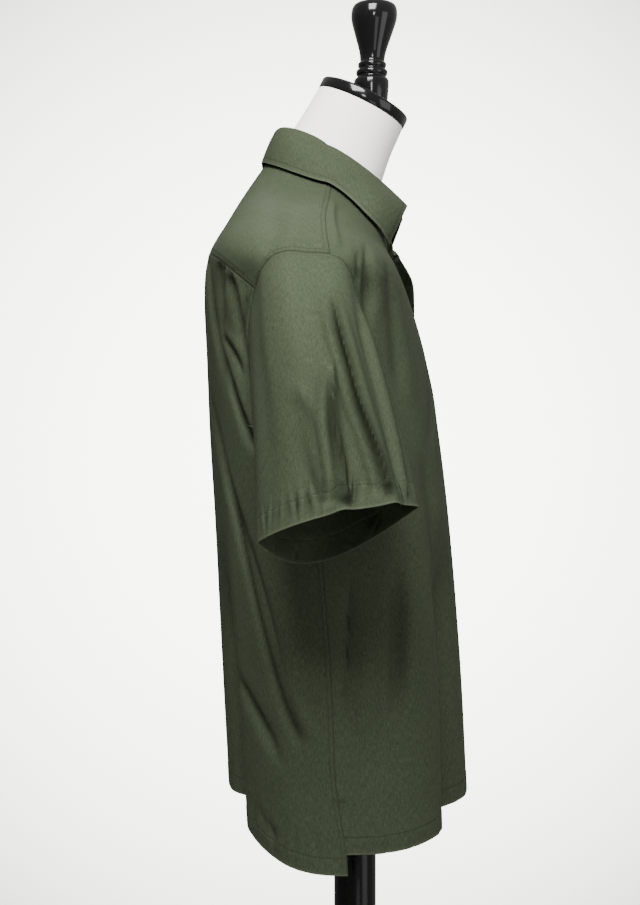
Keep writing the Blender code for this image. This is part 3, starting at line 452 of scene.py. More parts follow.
def even_places(place_at: Callable[[Array], Array], spacing: float) -> Array:
    """Share out places along a path so that they lie evenly in space.

    Args:
        place_at: gives points for numbers from 0 to 1.
        spacing: the wanted distance between two places.

    Returns:
        The numbers from 0 to 1.
    """
    trial = np.linspace(0.0, 1.0, 400)
    steps = np.linalg.norm(np.diff(place_at(trial), axis=0), axis=1)
    run = np.concatenate([[0.0], np.cumsum(steps)])
    count = max(int(round(run[-1] / spacing)), 2)
    return np.interp(np.linspace(0.0, run[-1], count + 1), run, trial)


# ---- surfaces
class CreasedSurface:
    """A smooth surface that creases are pressed into."""

    creases: Sequence[Crease] = ()
    step_a: float = 0.5
    step_b: float = 0.02

    def smooth_points(self, first: Array, second: Array) -> Array:
        """Give points of the surface before its creases."""
        raise NotImplementedError

    def smooth_normals(self, first: Array, second: Array) -> Array:
        """Give outward normals of the surface before its creases."""
        return normals_of(self.smooth_points, first, second, self.step_a, self.step_b)

    def path_places(self, crease: Crease) -> Array:
        """Turn a crease's own places into places of this surface."""
        return np.array(crease.path)

    def lay_creases(self) -> list[tuple[Crease, Array, Array, Array, Array]]:
        """Work out each crease's line: its points, sideways directions, fades and widths."""
        laid = []
        for crease in self.creases:
            places = self.path_places(crease)
            count = 6 * (len(places) - 1) + 1
            share = np.linspace(0.0, 1.0, count)
            line = catmull(places, share * (len(places) - 1))
            points = self.smooth_points(line[:, 0], line[:, 1])
            normals = self.smooth_normals(line[:, 0], line[:, 1])
            sideways = np.cross(normals, unit(np.gradient(points, axis=0)))
            width = crease.width * (1.0 + (crease.spread - 1.0) * share)
            fade = faded(share, crease.fade_in, crease.fade_out)
            laid.append((crease, points, sideways, fade, width))
        return laid

    def press(self, points: Array) -> tuple[Array, Array]:
        """Press the creases into points of the smooth surface.

        Args:
            points: places of the smooth surface.

        Returns:
            How far each is raised or sunk, and its painted shade: how deep it lies in a sharp
            crease, 0 to 1.
        """
        if not hasattr(self, "laid"):
            self.laid = self.lay_creases()
        height = np.zeros(len(points))
        shade = np.zeros(len(points))
        for crease, line, sideways, fade, width in self.laid:
            reach = 4.5 * width.max()
            near = np.all((points > line.min(0) - reach) & (points < line.max(0) + reach), axis=1)
            index = np.nonzero(near)[0]
            if not len(index):
                continue
            some = points[index]
            best = np.full(len(index), np.inf)
            signed = np.zeros(len(index))
            fading = np.zeros(len(index))
            wide = np.ones(len(index))
            for low in range(len(line) - 1):
                run = line[low + 1] - line[low]
                part = np.clip((some - line[low]) @ run / (run @ run), 0.0, 1.0)
                offset = some - line[low] - part[:, None] * run
                distance = np.linalg.norm(offset, axis=1)
                closer = distance < best
                best = np.where(closer, distance, best)
                side = np.sign(offset @ sideways[low])
                signed = np.where(closer, distance * side, signed)
                fading = np.where(closer, fade[low] + (fade[low + 1] - fade[low]) * part, fading)
                wide = np.where(closer, width[low] + (width[low + 1] - width[low]) * part, wide)
            across = signed / wide
            hand = math.copysign(1.0, crease.ridge)
            core = bell(across / 0.48)
            trough = -(1.0 - 0.4 * crease.crisp) * bell(across) - crease.crisp * core
            ridge = abs(crease.ridge) * bell((across * hand - 2.0) / 1.15)
            height[index] += crease.depth * fading * (trough + ridge)
            # Painted shade: deep, crisp creases darken the cloth's colour along their middle.
            depth = min(max(crease.depth, 0.0) / 0.004, 1.0) * min(crease.crisp * 2.0, 1.0)
            shade[index] = np.maximum(shade[index], depth * fading * core)
        return height, shade

    def painted_crease_shade(self, first: Array, second: Array) -> Array:
        """Give the painted shade of sharp creases: how deep places lie in one, 0 to 1."""
        first, second = np.broadcast_arrays(np.asarray(first, float), np.asarray(second, float))
        smooth = self.smooth_points(first.ravel(), second.ravel())
        return self.press(smooth)[1].reshape(first.shape)

    def points(self, first: Array, second: Array) -> Array:
        """Give points of the creased surface."""
        first, second = np.broadcast_arrays(np.asarray(first, float), np.asarray(second, float))
        shape = first.shape
        flat_a, flat_b = first.ravel(), second.ravel()
        smooth = self.smooth_points(flat_a, flat_b)
        normals = self.smooth_normals(flat_a, flat_b)
        height = self.press(smooth)[0] + self.ripple(flat_a, flat_b)
        return (smooth + normals * height[:, None]).reshape(*shape, 3)

    def ripple(self, first: Array, second: Array) -> Array:
        """Give the slight unevenness that all hanging cloth has."""
        return np.zeros(len(first))

    def frames(self, first: Array, second: Array) -> tuple[Array, Array]:
        """Give points of the creased surface with their outward normals."""
        return self.points(first, second), normals_of(
            self.points, first, second, self.step_a, self.step_b)


@dataclass
class BodySurface(CreasedSurface):
    """The surface that the fronts, the back and the yoke share, by angle and level."""

    rings: tuple[Ring, ...] = BODY_RINGS
    folds: tuple[Fold, ...] = BODY_FOLDS
    creases: tuple[Crease, ...] = BODY_CREASES

    def __post_init__(self) -> None:
        """Keep the rings as one array."""
        self.table = np.array([ring.row() for ring in self.rings])

    @staticmethod
    def on_ring(ring: Array, angle: Array) -> Array:
        """Give the points of rounded, square-shouldered rings at their angles."""
        sine, cosine = np.sin(np.radians(angle)), np.cos(np.radians(angle))
        front, back, side_y, half, z_front, z_side, z_back, corner, rise_f, rise_b = ring.T
        across = np.sign(sine) * np.abs(sine) ** corner
        along = np.abs(cosine) ** corner
        ahead = cosine >= 0.0
        far_y, far_z = np.where(ahead, front, back), np.where(ahead, z_front, z_back)
        rise = np.abs(cosine) ** np.where(ahead, rise_f, rise_b)
        return np.stack([-half * across, side_y + (far_y - side_y) * along,
                         z_side + (far_z - z_side) * rise], axis=-1)

    def base_points(self, angle: Array, level: Array) -> Array:
        """Give points of the body without any fold."""
        return self.on_ring(catmull(self.table, level), angle)

    def base_normals(self, angle: Array, level: Array) -> Array:
        """Give outward normals of the body without any fold."""
        return normals_of(self.base_points, angle, level, 0.7, 0.02)

    def edge_angle(self, level: Array, side: Side) -> Array:
        """Give the angle of a front's edge at a level."""
        across = table_value(FRONT_EDGES, 1 if side is Side.RIGHT else 2, level)
        ring = catmull(self.table, level)
        share = np.minimum(np.abs(across) / ring[..., 3], 1.0) ** (1.0 / ring[..., 7])
        return np.degrees(np.sign(-across) * np.arcsin(share))

    def edge_lift(self, angle: Array, level: Array) -> Array:
        """Stand the open left front edge forward above the button."""
        angle = wrapped(angle)
        away = (angle - self.edge_angle(level, Side.LEFT)) / EDGE_LIFT_WIDTH
        rise = smoothstep((level - EDGE_LIFT_FROM) / EDGE_LIFT_RUN)
        rise = rise * (1.0 - 0.7 * smoothstep((level - 7.6) / 1.4))
        return EDGE_LIFT * rise * np.exp(-away ** 2 * 1.5) * (angle <= 0.0)

    def smooth_points(self, angle: Array, level: Array) -> Array:
        """Give points of the body with its large folds."""
        height = fold_height(self.folds, angle, level) + self.edge_lift(angle, level)
        return (self.base_points(angle, level)
                + self.base_normals(angle, level) * height[..., None])

    def ripple(self, angle: Array, level: Array) -> Array:
        """Give the slight unevenness of the hanging body."""
        turn = np.radians(angle)
        wave = (np.sin(7.0 * turn + 1.3 * level) * 0.5 + np.sin(13.0 * turn - 0.9 * level + 1.7)
                * 0.3 + np.sin(23.0 * turn + 0.6 * level + 0.4) * 0.2)
        height = 0.0007 * wave * smoothstep((7.5 - level) / 3.0)
        above = level - 0.07
        for centre, depth in HEM_PUCKERS:
            away = wrapped(angle - centre) - 14.0 * math.sin(centre * 2.3) * above
            height += depth * bell(above / 0.1) * (
                0.0008 * bell((away - 2.6) / 1.5) - 0.0014 * bell(away / 1.3))
        return height


@dataclass
class SleeveSurface(CreasedSurface):
    """The right sleeve's surface by armhole index and share of its length."""

    body: BodySurface = field(default_factory=BodySurface)
    side: Side = Side.RIGHT
    step_a: float = 0.05
    step_b: float = 0.01

    def __post_init__(self) -> None:
        """Take the side's folds and creases."""
        self.folds = SLEEVE_FOLDS[self.side]
        self.creases = SLEEVE_CREASES[self.side]
        self.armhole = np.array(ARMHOLE)
        self.trial = np.linspace(0.0, UNDERARM_INDEX, 4001)
        places = catmull(self.armhole, self.trial)
        self.starts = np.concatenate(self.start_frames(places[:, 0], places[:, 1]), axis=1)

    def place(self, index: Array) -> Array:
        """Give angle, level and turn of places along the armhole."""
        return catmull(self.armhole, index % UNDERARM_INDEX)

    def index_of(self, turn: Array) -> Array:
        """Give the armhole's index for a turn of the sleeve."""
        return np.interp(-np.asarray(turn), -self.armhole[:, 2], np.arange(len(self.armhole)))

    def path_places(self, crease: Crease) -> Array:
        """Turn a crease's turns and shares into this surface's places."""
        path = np.array(crease.path)
        return np.stack([self.index_of(path[:, 0]), path[:, 1]], axis=1)

    def hem_points(self, turn: Array) -> Array:
        """Give points of the sleeve's hem."""
        sine, cosine = np.sin(np.radians(turn)), np.cos(np.radians(turn))
        outward = (cosine >= 0.0)[:, None]
        power = np.where(cosine >= 0.0, HEM_LENS_OUTER, HEM_LENS_INNER)
        half = np.where(outward, HEM_OUTER, HEM_INNER)
        return HEM_CENTRE + HEM_FORWARD * sine[:, None] + half * (np.abs(cosine) ** power)[:, None]

    def start_frames(self, angle: Array, level: Array) -> tuple[Array, Array]:
        """Give the armhole's points and normals on the body, mirrored for the left sleeve."""
        if self.side is Side.RIGHT:
            return self.body.frames(angle, level)
        points, normals = self.body.frames(-angle, level)
        return points * MIRROR, normals * MIRROR

    def base_points(self, index: Array, share: Array) -> Array:
        """Give points of the sleeve without its folds."""
        angle, level, turn = self.place(index).T
        lap = smoothstep((np.abs(turn) - SLEEVE_LAP_TURNS[0])
                         / (SLEEVE_LAP_TURNS[1] - SLEEVE_LAP_TURNS[0]))[:, None]
        found = np.stack([np.interp(index % UNDERARM_INDEX, self.trial, column)
                          for column in self.starts.T], axis=1)
        start, normal = found[:, :3], unit(found[:, 3:])
        start = start + normal * lap * (CLOTH + 1.5 * SEAM_GAP)
        end = self.hem_points(turn)
        chord = end - start
        length = np.linalg.norm(chord, axis=1, keepdims=True)
        top = np.maximum(np.cos(np.radians(turn)), 0.0)[:, None]
        mix = 0.9 * top ** 0.7
        leave = unit(chord) * (1.0 - mix) + unit(SLEEVE_TOP_RUN) * mix
        leave = unit(leave + np.array([-1.0, 0.0, 0.0]) * SLEEVE_LAP_LEAVE * lap)
        arrive = unit(unit(chord) * 0.45 + unit(SLEEVE_END_RUN) * 0.55)
        first = start + leave * (length * SLEEVE_ROUND * (0.55 + 0.45 * top))
        second = end - arrive * (length * 0.33)
        far = share[:, None]
        keep = 1.0 - far
        return (start * keep ** 3 + first * (3.0 * keep ** 2 * far)
                + second * (3.0 * keep * far ** 2) + end * far ** 3)

    def smooth_points(self, index: Array, share: Array) -> Array:
        """Give points of the sleeve with its large folds."""
        share = np.broadcast_to(np.asarray(share, float), index.shape)
        height = fold_height(self.folds, self.place(index)[:, 2], share)
        normal = self.clipped_normals(self.base_points, index, share)
        return self.base_points(index, share) + normal * height[:, None]

    @staticmethod
    def clipped_normals(points_at: SurfaceCall, index: Array, share: Array) -> Array:
        """Give outward normals without stepping past the sleeve's ends."""
        return normals_of(
            lambda at, part: points_at(at, np.clip(part, 0.0, 1.0)), index, share, 0.05, 0.01)

    def smooth_normals(self, index: Array, share: Array) -> Array:
        """Give outward normals of the sleeve with its large folds."""
        return self.clipped_normals(self.smooth_points, index, share)

    def puckers(self, turn: Array, share: Array) -> Iterator[tuple[Array, float]]:
        """Yield how many degrees places lie from each hem pucker, and its depth."""
        for centre, depth in SLEEVE_PUCKERS[self.side]:
            drift = 40.0 * math.sin(centre * 1.7) * (share - SLEEVE_HEM_SHARE)
            yield wrapped(turn - centre) - drift, depth

    def ripple(self, index: Array, share: Array) -> Array:
        """Give the puckers at the stitched hem and the slight unevenness above it."""
        turn = self.place(index)[:, 2]
        height = np.zeros(len(turn))
        reach = PUCKER_DEPTH * bell((share - SLEEVE_HEM_SHARE) / 0.045)
        for away, depth in self.puckers(turn, share):
            height += depth * reach * (0.6 * bell((away - 3.6) / 2.0) - bell(away / 1.45))
        around = np.radians(turn)
        wave = np.sin(around * 9.0 + 4.0 * share) + np.sin(around * 5.0 - 6.0 * share + 1.0)
        return height + 0.0004 * wave * np.sin(np.pi * np.clip(share, 0.0, 1.0))

    def painted_crease_shade(self, index: Array, share: Array) -> Array:
        """Give the painted shade of sharp creases and hem puckers: how deep places lie in one, 0
        to 1.
        """
        shade = super().painted_crease_shade(index, share)
        turn = self.place(np.asarray(index).ravel())[:, 2].reshape(shade.shape)
        # The hem's puckers get painted shade as well.
        reach = 0.75 * bell((share - SLEEVE_HEM_SHARE) / 0.042)
        for away, depth in self.puckers(turn, share):
            shade = np.maximum(shade, min(depth, 1.2) * reach * bell(away / 1.1))
        return shade


# ---- meshes
@dataclass
class ClothGrid:
    """A grid of points on the outer face of one cut piece of cloth."""

    points: Array
    closed: bool = False
    thickness: float = CLOTH
    sewn: tuple[Border, ...] = ()
    hemmed: tuple[Border, ...] = ()
    flip: bool = False
    # shade: the painted shade of sharp creases and puckers at each point, 0 to 1
    shade: Array | None = None
    under_border: Border | None = None
    under_width: float = 0.0

    def __post_init__(self) -> None:
        """Work out normals and the lengths along the grid's rows and columns."""
        points = self.points
        if self.closed:
            ring = np.concatenate([points[:, -1:], points, points[:, :1]], axis=1)
            across = (ring[:, 2:] - ring[:, :-2])
        else:
            across = np.gradient(points, axis=1)
        along = np.gradient(points, axis=0)
        self.normals = unit(np.cross(across, along)) * (-1.0 if self.flip else 1.0)
        rows = np.linalg.norm(np.diff(points, axis=1), axis=2)
        columns = np.linalg.norm(np.diff(points, axis=0), axis=2)
        self.run_across = np.concatenate([np.zeros((len(points), 1)), np.cumsum(rows, 1)], 1)
        self.run_along = np.concatenate([np.zeros((1, points.shape[1])), np.cumsum(columns, 0)])

    def tucked(self, border: Border, reach: float = 0.0018, under: float = 0.0012) -> "ClothGrid":
        """Add a narrow allowance that runs on under the neighbouring piece.

        Args:
            border: the border that it is added to.
            reach: how wide it is.
            under: how far it sinks.

        Returns:
            The new grid.
        """
        axis = 0 if border in (Border.BOTTOM, Border.TOP) else 1
        first = border in (Border.BOTTOM, Border.LEFT)
        edge, beside = (0, 1) if first else (-1, -2)
        points, normals = (np.moveaxis(part, axis, 0) for part in (self.points, self.normals))
        row = (points[edge] + unit(points[edge] - points[beside]) * reach
               - normals[edge] * under)[None]
        points = np.concatenate([row, points] if first else [points, row])
        shade = self.shade
        if shade is not None:
            shade = np.moveaxis(shade, axis, 0)
            shade = np.concatenate([shade[:1], shade] if first else [shade, shade[-1:]])
            shade = np.moveaxis(shade, 0, axis)
        return replace(self, points=np.moveaxis(points, 0, axis), shade=shade,
                       under_border=border, under_width=math.hypot(reach, under))

    def distance(self, border: Border) -> Array:
        """Give every point's distance to a border as it shows, along the cloth."""
        far = {Border.BOTTOM: self.run_along, Border.LEFT: self.run_across,
               Border.TOP: self.run_along[-1:] - self.run_along,
               Border.RIGHT: self.run_across[:, -1:] - self.run_across}[border]
        return np.maximum(far - self.under_width, 0.0) if border is self.under_border else far

    def nearest(self, borders: Sequence[Border]) -> Array:
        """Give every point's distance to the nearest of some borders."""
        far = np.full(self.points.shape[:2], 0.2)
        for border in borders:
            far = np.minimum(far, self.distance(border))
        return far

    def thicken_hem(self, border: Border, width: float, layers: float) -> "ClothGrid":
        """Raise a turned hem by its extra layers and give the grid."""
        layer = 1.0 - smoothstep((self.distance(border) - width + 0.001) / 0.002)
        self.points = self.points + self.normals * (layers * layer)[..., None]
        return self

    def line(self, border: Border, offset: float, start: float = 0.0) -> Array:
        """Trace a line for stitches at a distance from a border.

        Args:
            border: the border that the line follows.
            offset: its distance from that border.
            start: where it begins, as a share of the border.

        Returns:
            The line's points.
        """
        distance = self.distance(border)
        points = self.points + self.normals * STITCH_LIFT
        if border in (Border.BOTTOM, Border.TOP):
            distance, points = distance.T, points.transpose(1, 0, 2)
        if border in (Border.RIGHT, Border.TOP):
            distance, points = distance[:, ::-1], points[:, ::-1]
        return np.array(
            [[np.interp(offset, distance[row], points[row, :, axis]) for axis in range(3)] for row
             in range(int(start * (len(points) - 1)), len(points)) if distance[row, -1] >= offset])

    def shell(self, name: str) -> Object:
        """Close the grid with an inner face and rims.

        Args:
            name: the piece's name.

        Returns:
            The piece, with its UV map, its distances to seams and hems and its painted crease
            shade.
        """
        high, wide = self.points.shape[:2]
        outer = self.points.reshape(-1, 3)
        inner = (self.points - self.normals * self.thickness).reshape(-1, 3)
        index = np.arange(high * wide).reshape(high, wide)
        if self.closed:
            index = np.concatenate([index, index[:, :1]], axis=1)
        quads = grid_quads(index)
        count = high * wide
        parts = [quads, quads[:, ::-1] + count]
        rims = [index[0], index[-1, ::-1]]
        if not self.closed:
            rims += [index[::-1, 0], index[:, -1]]
        for rim in rims:
            parts.append(np.stack([rim[1:], rim[:-1], rim[:-1] + count, rim[1:] + count], -1))
        faces = np.concatenate(parts)
        vertices = np.concatenate([outer, inner])
        spread = np.stack([self.run_across.ravel(), self.run_along.ravel()], axis=1)
        data = {
            "seam_distance": np.tile(self.nearest(self.sewn).ravel(), 2),
            "hem_distance": np.tile(self.nearest(self.hemmed).ravel(), 2),
            "painted_crease_shade": np.concatenate([self.shade.ravel() if self.shade is not None
                                            else np.zeros(count), np.zeros(count)]),
        }
        return make_piece(name, vertices, faces, np.tile(spread, (2, 1)), data)


def add_object(name: str, data: bpy.types.ID) -> Object:
    """Add an object to the scene."""
    made = bpy.data.objects.new(name, data)
    bpy.context.scene.collection.objects.link(made)
    return made


def grid_quads(index: Array) -> Array:
    """List the quads between the neighbours of a grid of point numbers."""
    return np.stack([index[:-1, :-1], index[:-1, 1:], index[1:, 1:], index[1:, :-1]], -1).reshape(
        -1, 4)


def signed_volume(vertices: Array, faces: Array) -> float:
    """Give the volume that faces close in, negative if they point inwards."""
    a, b, c, d = (vertices[faces[:, corner]] for corner in range(4))
    return float(np.sum(a * np.cross(b, c)) + np.sum(a * np.cross(c, d))) / 6.0


def make_piece(
        name: str, vertices: Array, faces: Array, spread: Array | None = None, data:
        dict[str, Array] | None = None, sharp_degrees: float = 48.0) -> Object:
    """Make a piece from arrays, with its faces pointing out.

    Args:
        name: the piece's name.
        vertices: its points.
        faces: its quads.
        spread: the place of each point on the flat cloth, in metres.
        data: numbers to keep for each point.
        sharp_degrees: edges that bend more than this are drawn sharp.

    Returns:
        The piece.
    """
    if signed_volume(vertices, faces) < 0.0:
        faces = faces[:, ::-1]
    mesh = bpy.data.meshes.new(name)
    mesh.from_pydata(vertices.tolist(), [], faces.tolist())
    if spread is not None:
        corners = np.zeros(len(mesh.loops), dtype=np.int32)
        mesh.loops.foreach_get("vertex_index", corners)
        mesh.uv_layers.new(name="cloth").data.foreach_set(
            "uv", spread[corners].astype(np.float32).ravel())
    for key, values in (data or {}).items():
        mesh.attributes.new(key, "FLOAT", "POINT").data.foreach_set(
            "value", values.astype(np.float32))
    mesh.shade_smooth()
    mesh.set_sharp_from_angle(angle=math.radians(sharp_degrees))
    return add_object(name, mesh)


def loft(name: str, rings: Array, sharp_degrees: float = 40.0) -> Object:
    """Close a stack of rings with a shrinking cap at each end.

    Args:
        name: the piece's name.
        rings: points, by ring and place in the ring.
        sharp_degrees: edges that bend more than this are drawn sharp.

    Returns:
        The piece.
    """
    low, high = rings[0].mean(0), rings[-1].mean(0)
    shrink = 0.001
    rings = np.concatenate(
        [(low + (rings[:1] - low) * shrink), rings, (high + (rings[-1:] - high) * shrink)])
    count, round_count = rings.shape[:2]
    index = np.arange(count * round_count).reshape(count, round_count)
    index = np.concatenate([index, index[:, :1]], axis=1)
    piece = make_piece(name, rings.reshape(-1, 3), grid_quads(index), sharp_degrees=sharp_degrees)
    mesh = piece.data
    work = bmesh.new()
    work.from_mesh(mesh)
    bmesh.ops.remove_doubles(work, verts=work.verts, dist=0.00008)
    bmesh.ops.holes_fill(work, edges=work.edges)
    work.to_mesh(mesh)
    work.free()
    return piece


# ---- shader building
class Kind(Enum):
    """The socket kinds of a shader group."""

    NUMBER = "NodeSocketFloat"
    COLOUR = "NodeSocketColor"
    VECTOR = "NodeSocketVector"


@dataclass
class NodeSketch:
    """A net of nodes: adds them to a tree and links them in one call."""

    tree: NodeTree

    def node(self, kind: str, settings: dict[str, object] | None = None,
             **inputs: object) -> bpy.types.Node:
        """Add a node.

        Args:
            kind: its Blender type.
            settings: its own properties.
            inputs: values or sockets for its inputs; in_N is input number N.

        Returns:
            The node.
        """
        made = self.tree.nodes.new(kind)
        for key, value in (settings or {}).items():
            setattr(made, key, value)
        for key, value in inputs.items():
            place = int(key[3:]) if key.startswith("in_") else key.replace("_", " ")
            socket = made.inputs[place]
            if isinstance(value, Socket):
                self.tree.links.new(value, socket)
            else:
                socket.default_value = value
        return made

    def shader(self, kind: str, settings: dict[str, object] | None = None,
               **inputs: object) -> bpy.types.Node:
        """Add a shader node by the last part of its type."""
        return self.node("ShaderNode" + kind, settings, **inputs)

    def feed(self, node: bpy.types.Node, **sources: Socket) -> None:
        """Link sockets into a node's inputs, named with _ for a space."""
        for key, source in sources.items():
            self.tree.links.new(source, node.inputs[key.replace("_", " ")])

    def maths(self, operation: str, first: object, second: object = 0.0,
              third: object = 0.0) -> Socket:
        """Add a math node and give its result."""
        return self.shader("Math", {"operation": operation}, in_0=first, in_1=second,
                           in_2=third).outputs[0]

    def times(self, first: object, second: object) -> Socket:
        """Multiply two values."""
        return self.maths("MULTIPLY", first, second)

    def bell(self, value: object, centre: object, width: object) -> Socket:
        """Give a soft peak of height 1 where a value is near a centre."""
        away = self.maths("DIVIDE", self.maths("SUBTRACT", value, centre), width)
        square = self.times(self.times(away, away), -1.0)
        return self.maths("EXPONENT", square)

    def mix(self, share: object, first: object, second: object) -> Socket:
        """Mix two colours."""
        made = self.shader("Mix", {"data_type": "RGBA"}, in_0=share, in_6=first, in_7=second)
        return made.outputs[2]

    def noise(self, vector: object, scale: object, detail: float = 2.0,
              roughness: float = 0.5) -> Socket:
        """Add a noise and give its value."""
        return self.shader("TexNoise", None, Vector=vector, Scale=scale, Detail=detail,
                           Roughness=roughness).outputs["Fac"]


def shader_group(name: str, inputs: Sequence[tuple[str, Kind, object]],
                 outputs: Sequence[tuple[str, Kind]]) -> tuple[NodeSketch, dict, bpy.types.Node]:
    """Make an empty shader group.

    Args:
        name: the group's name.
        inputs: name, kind and usual value of each input.
        outputs: name and kind of each output.

    Returns:
        The net of its tree, its inputs by name and its output node.
    """
    tree = bpy.data.node_groups.new(name, "ShaderNodeTree")
    for label, kind, value in inputs:
        socket = tree.interface.new_socket(name=label, in_out="INPUT", socket_type=kind.value)
        if value is not None:
            socket.default_value = value
    for label, kind in outputs:
        tree.interface.new_socket(name=label, in_out="OUTPUT", socket_type=kind.value)
    net = NodeSketch(tree)
    entry = tree.nodes.new("NodeGroupInput")
    leave = tree.nodes.new("NodeGroupOutput")
    return net, {label: entry.outputs[label] for label, _, _ in inputs}, leave


@dataclass(frozen=True)
class SharedEffects:
    """The shader groups that several finishes use."""

    weave: NodeTree
    seams: NodeTree
    haze: NodeTree

    @staticmethod
    def make_weave() -> NodeTree:
        """Make the fine woven cloth: mixed threads, soft mottling and the threads' relief."""
        net, entry, leave = shader_group(
            "fine_weave",
            (("Flat Place", Kind.VECTOR, None), ("Object Place", Kind.VECTOR, None),
             ("Light Thread", Kind.COLOUR, None), ("Dark Thread", Kind.COLOUR, None),
             ("Thread Pitch", Kind.NUMBER, 0.0005), ("Mottle", Kind.NUMBER, 0.25)),
            (("Color", Kind.COLOUR), ("Roughness", Kind.NUMBER), ("Height", Kind.NUMBER)))
        turns = net.maths("DIVIDE", math.tau, entry["Thread Pitch"])
        split = net.shader("SeparateXYZ", None, Vector=entry["Flat Place"])
        warp = net.maths("SINE", net.times(split.outputs[0], turns))
        weft = net.maths("SINE", net.times(split.outputs[1], turns))
        over = net.maths("MULTIPLY_ADD", net.times(warp, weft), 0.5, 0.5)
        threads = net.shader("VectorMath", {"operation": "MULTIPLY"},
                             in_0=entry["Flat Place"], in_1=(1.0, 0.16, 1.0))
        slub = net.noise(threads.outputs[0], 900.0, 2.0, 0.6)
        fleck = net.noise(entry["Object Place"], 620.0, 2.0, 0.7)
        cloud = net.noise(entry["Object Place"], 24.0, 3.0, 0.6)
        blend = net.maths("ADD", net.times(slub, 0.55), net.times(fleck, 0.45))
        blend = net.shader("MapRange", None, Value=blend, in_1=0.34, in_2=0.66,
                           in_3=0.0, in_4=1.0).outputs[0]
        drift = net.times(net.maths("SUBTRACT", cloud, 0.5), entry["Mottle"])
        blend = net.shader("Clamp", None, Value=net.maths("ADD", blend, drift)).outputs[0]
        colour = net.mix(blend, entry["Dark Thread"], entry["Light Thread"])
        relief = net.maths("ADD", net.times(over, 0.5), net.times(slub, 0.5))
        net.feed(leave, Color=colour, Height=relief,
                 Roughness=net.maths("MULTIPLY_ADD", fleck, 0.16, 0.56))
        return net.tree

    @staticmethod
    def make_seams() -> NodeTree:
        """Make the relief of seams, the sunk stitch lines and the puckers, with painted shade in
        the ditch and the stitch lines and a paler hem edge.
        """
        net, entry, leave = shader_group(
            "seam_relief",
            (("Object Place", Kind.VECTOR, None), ("Seam Distance", Kind.NUMBER, 0.2),
             ("Hem Distance", Kind.NUMBER, 0.2), ("Stitch Offset", Kind.NUMBER, TOPSTITCH),
             ("Hem Width", Kind.NUMBER, BODY_HEM), ("Pucker", Kind.NUMBER, 1.0)),
            (("Height", Kind.NUMBER), ("Shade", Kind.NUMBER), ("Worn", Kind.NUMBER)))
        seam, hem = entry["Seam Distance"], entry["Hem Distance"]
        ditch = net.bell(seam, 0.0, 0.0013)
        groove = net.bell(seam, entry["Stitch Offset"], 0.0009)
        hem_line = net.bell(hem, entry["Hem Width"], 0.001)
        lines = net.maths("MAXIMUM", groove, hem_line)
        near = net.maths("MAXIMUM", net.bell(seam, entry["Stitch Offset"], 0.006),
                         net.bell(hem, entry["Hem Width"], 0.0085))
        lumps = net.noise(entry["Object Place"], 95.0, 1.0, 0.4)
        pucker = net.times(net.times(lumps, near), entry["Pucker"])
        # The colour is made paler along the hem's folded edge.
        edge = net.bell(hem, 0.0, 0.0022)
        height = net.maths("SUBTRACT", pucker, net.times(lines, 0.55))
        height = net.maths("SUBTRACT", height, net.times(ditch, 0.9))
        # Painted shade: the seam's ditch and the sunk stitch lines darken the colour.
        shade = net.maths("MAXIMUM", net.times(ditch, 0.5), net.times(lines, 0.12))
        net.feed(leave, Height=height, Shade=shade, Worn=net.times(edge, 0.6))
        return net.tree

    @staticmethod
    def make_haze() -> NodeTree:
        """Make a hard surface's slight unevenness and handling marks."""
        net, entry, leave = shader_group(
            "handling_haze",
            (("Object Place", Kind.VECTOR, None), ("Base Roughness", Kind.NUMBER, 0.12),
             ("Marks", Kind.NUMBER, 0.08)),
            (("Roughness", Kind.NUMBER), ("Height", Kind.NUMBER), ("Dust", Kind.NUMBER)))
        smear = net.noise(entry["Object Place"], 38.0, 4.0, 0.65)
        speck = net.noise(entry["Object Place"], 700.0, 2.0, 0.7)
        rough = net.maths("MULTIPLY_ADD", smear, entry["Marks"], entry["Base Roughness"])
        dust = net.shader("MapRange", None, Value=speck, in_1=0.66, in_2=0.78,
                          in_3=0.0, in_4=1.0).outputs[0]
        net.feed(leave, Roughness=rough, Dust=dust,
                 Height=net.noise(entry["Object Place"], 160.0, 1.0, 0.4))
        return net.tree

    @classmethod
    def make(cls) -> "SharedEffects":
        """Build every shared group once."""
        return cls(cls.make_weave(), cls.make_seams(), cls.make_haze())


def blank_material(name: str) -> tuple[Material, NodeSketch, bpy.types.Node]:
    """Make a material and give its net and its surface shader."""
    material = bpy.data.materials.new(name)
    material.use_nodes = True
    net = NodeSketch(material.node_tree)
    return material, net, material.node_tree.nodes["Principled BSDF"]


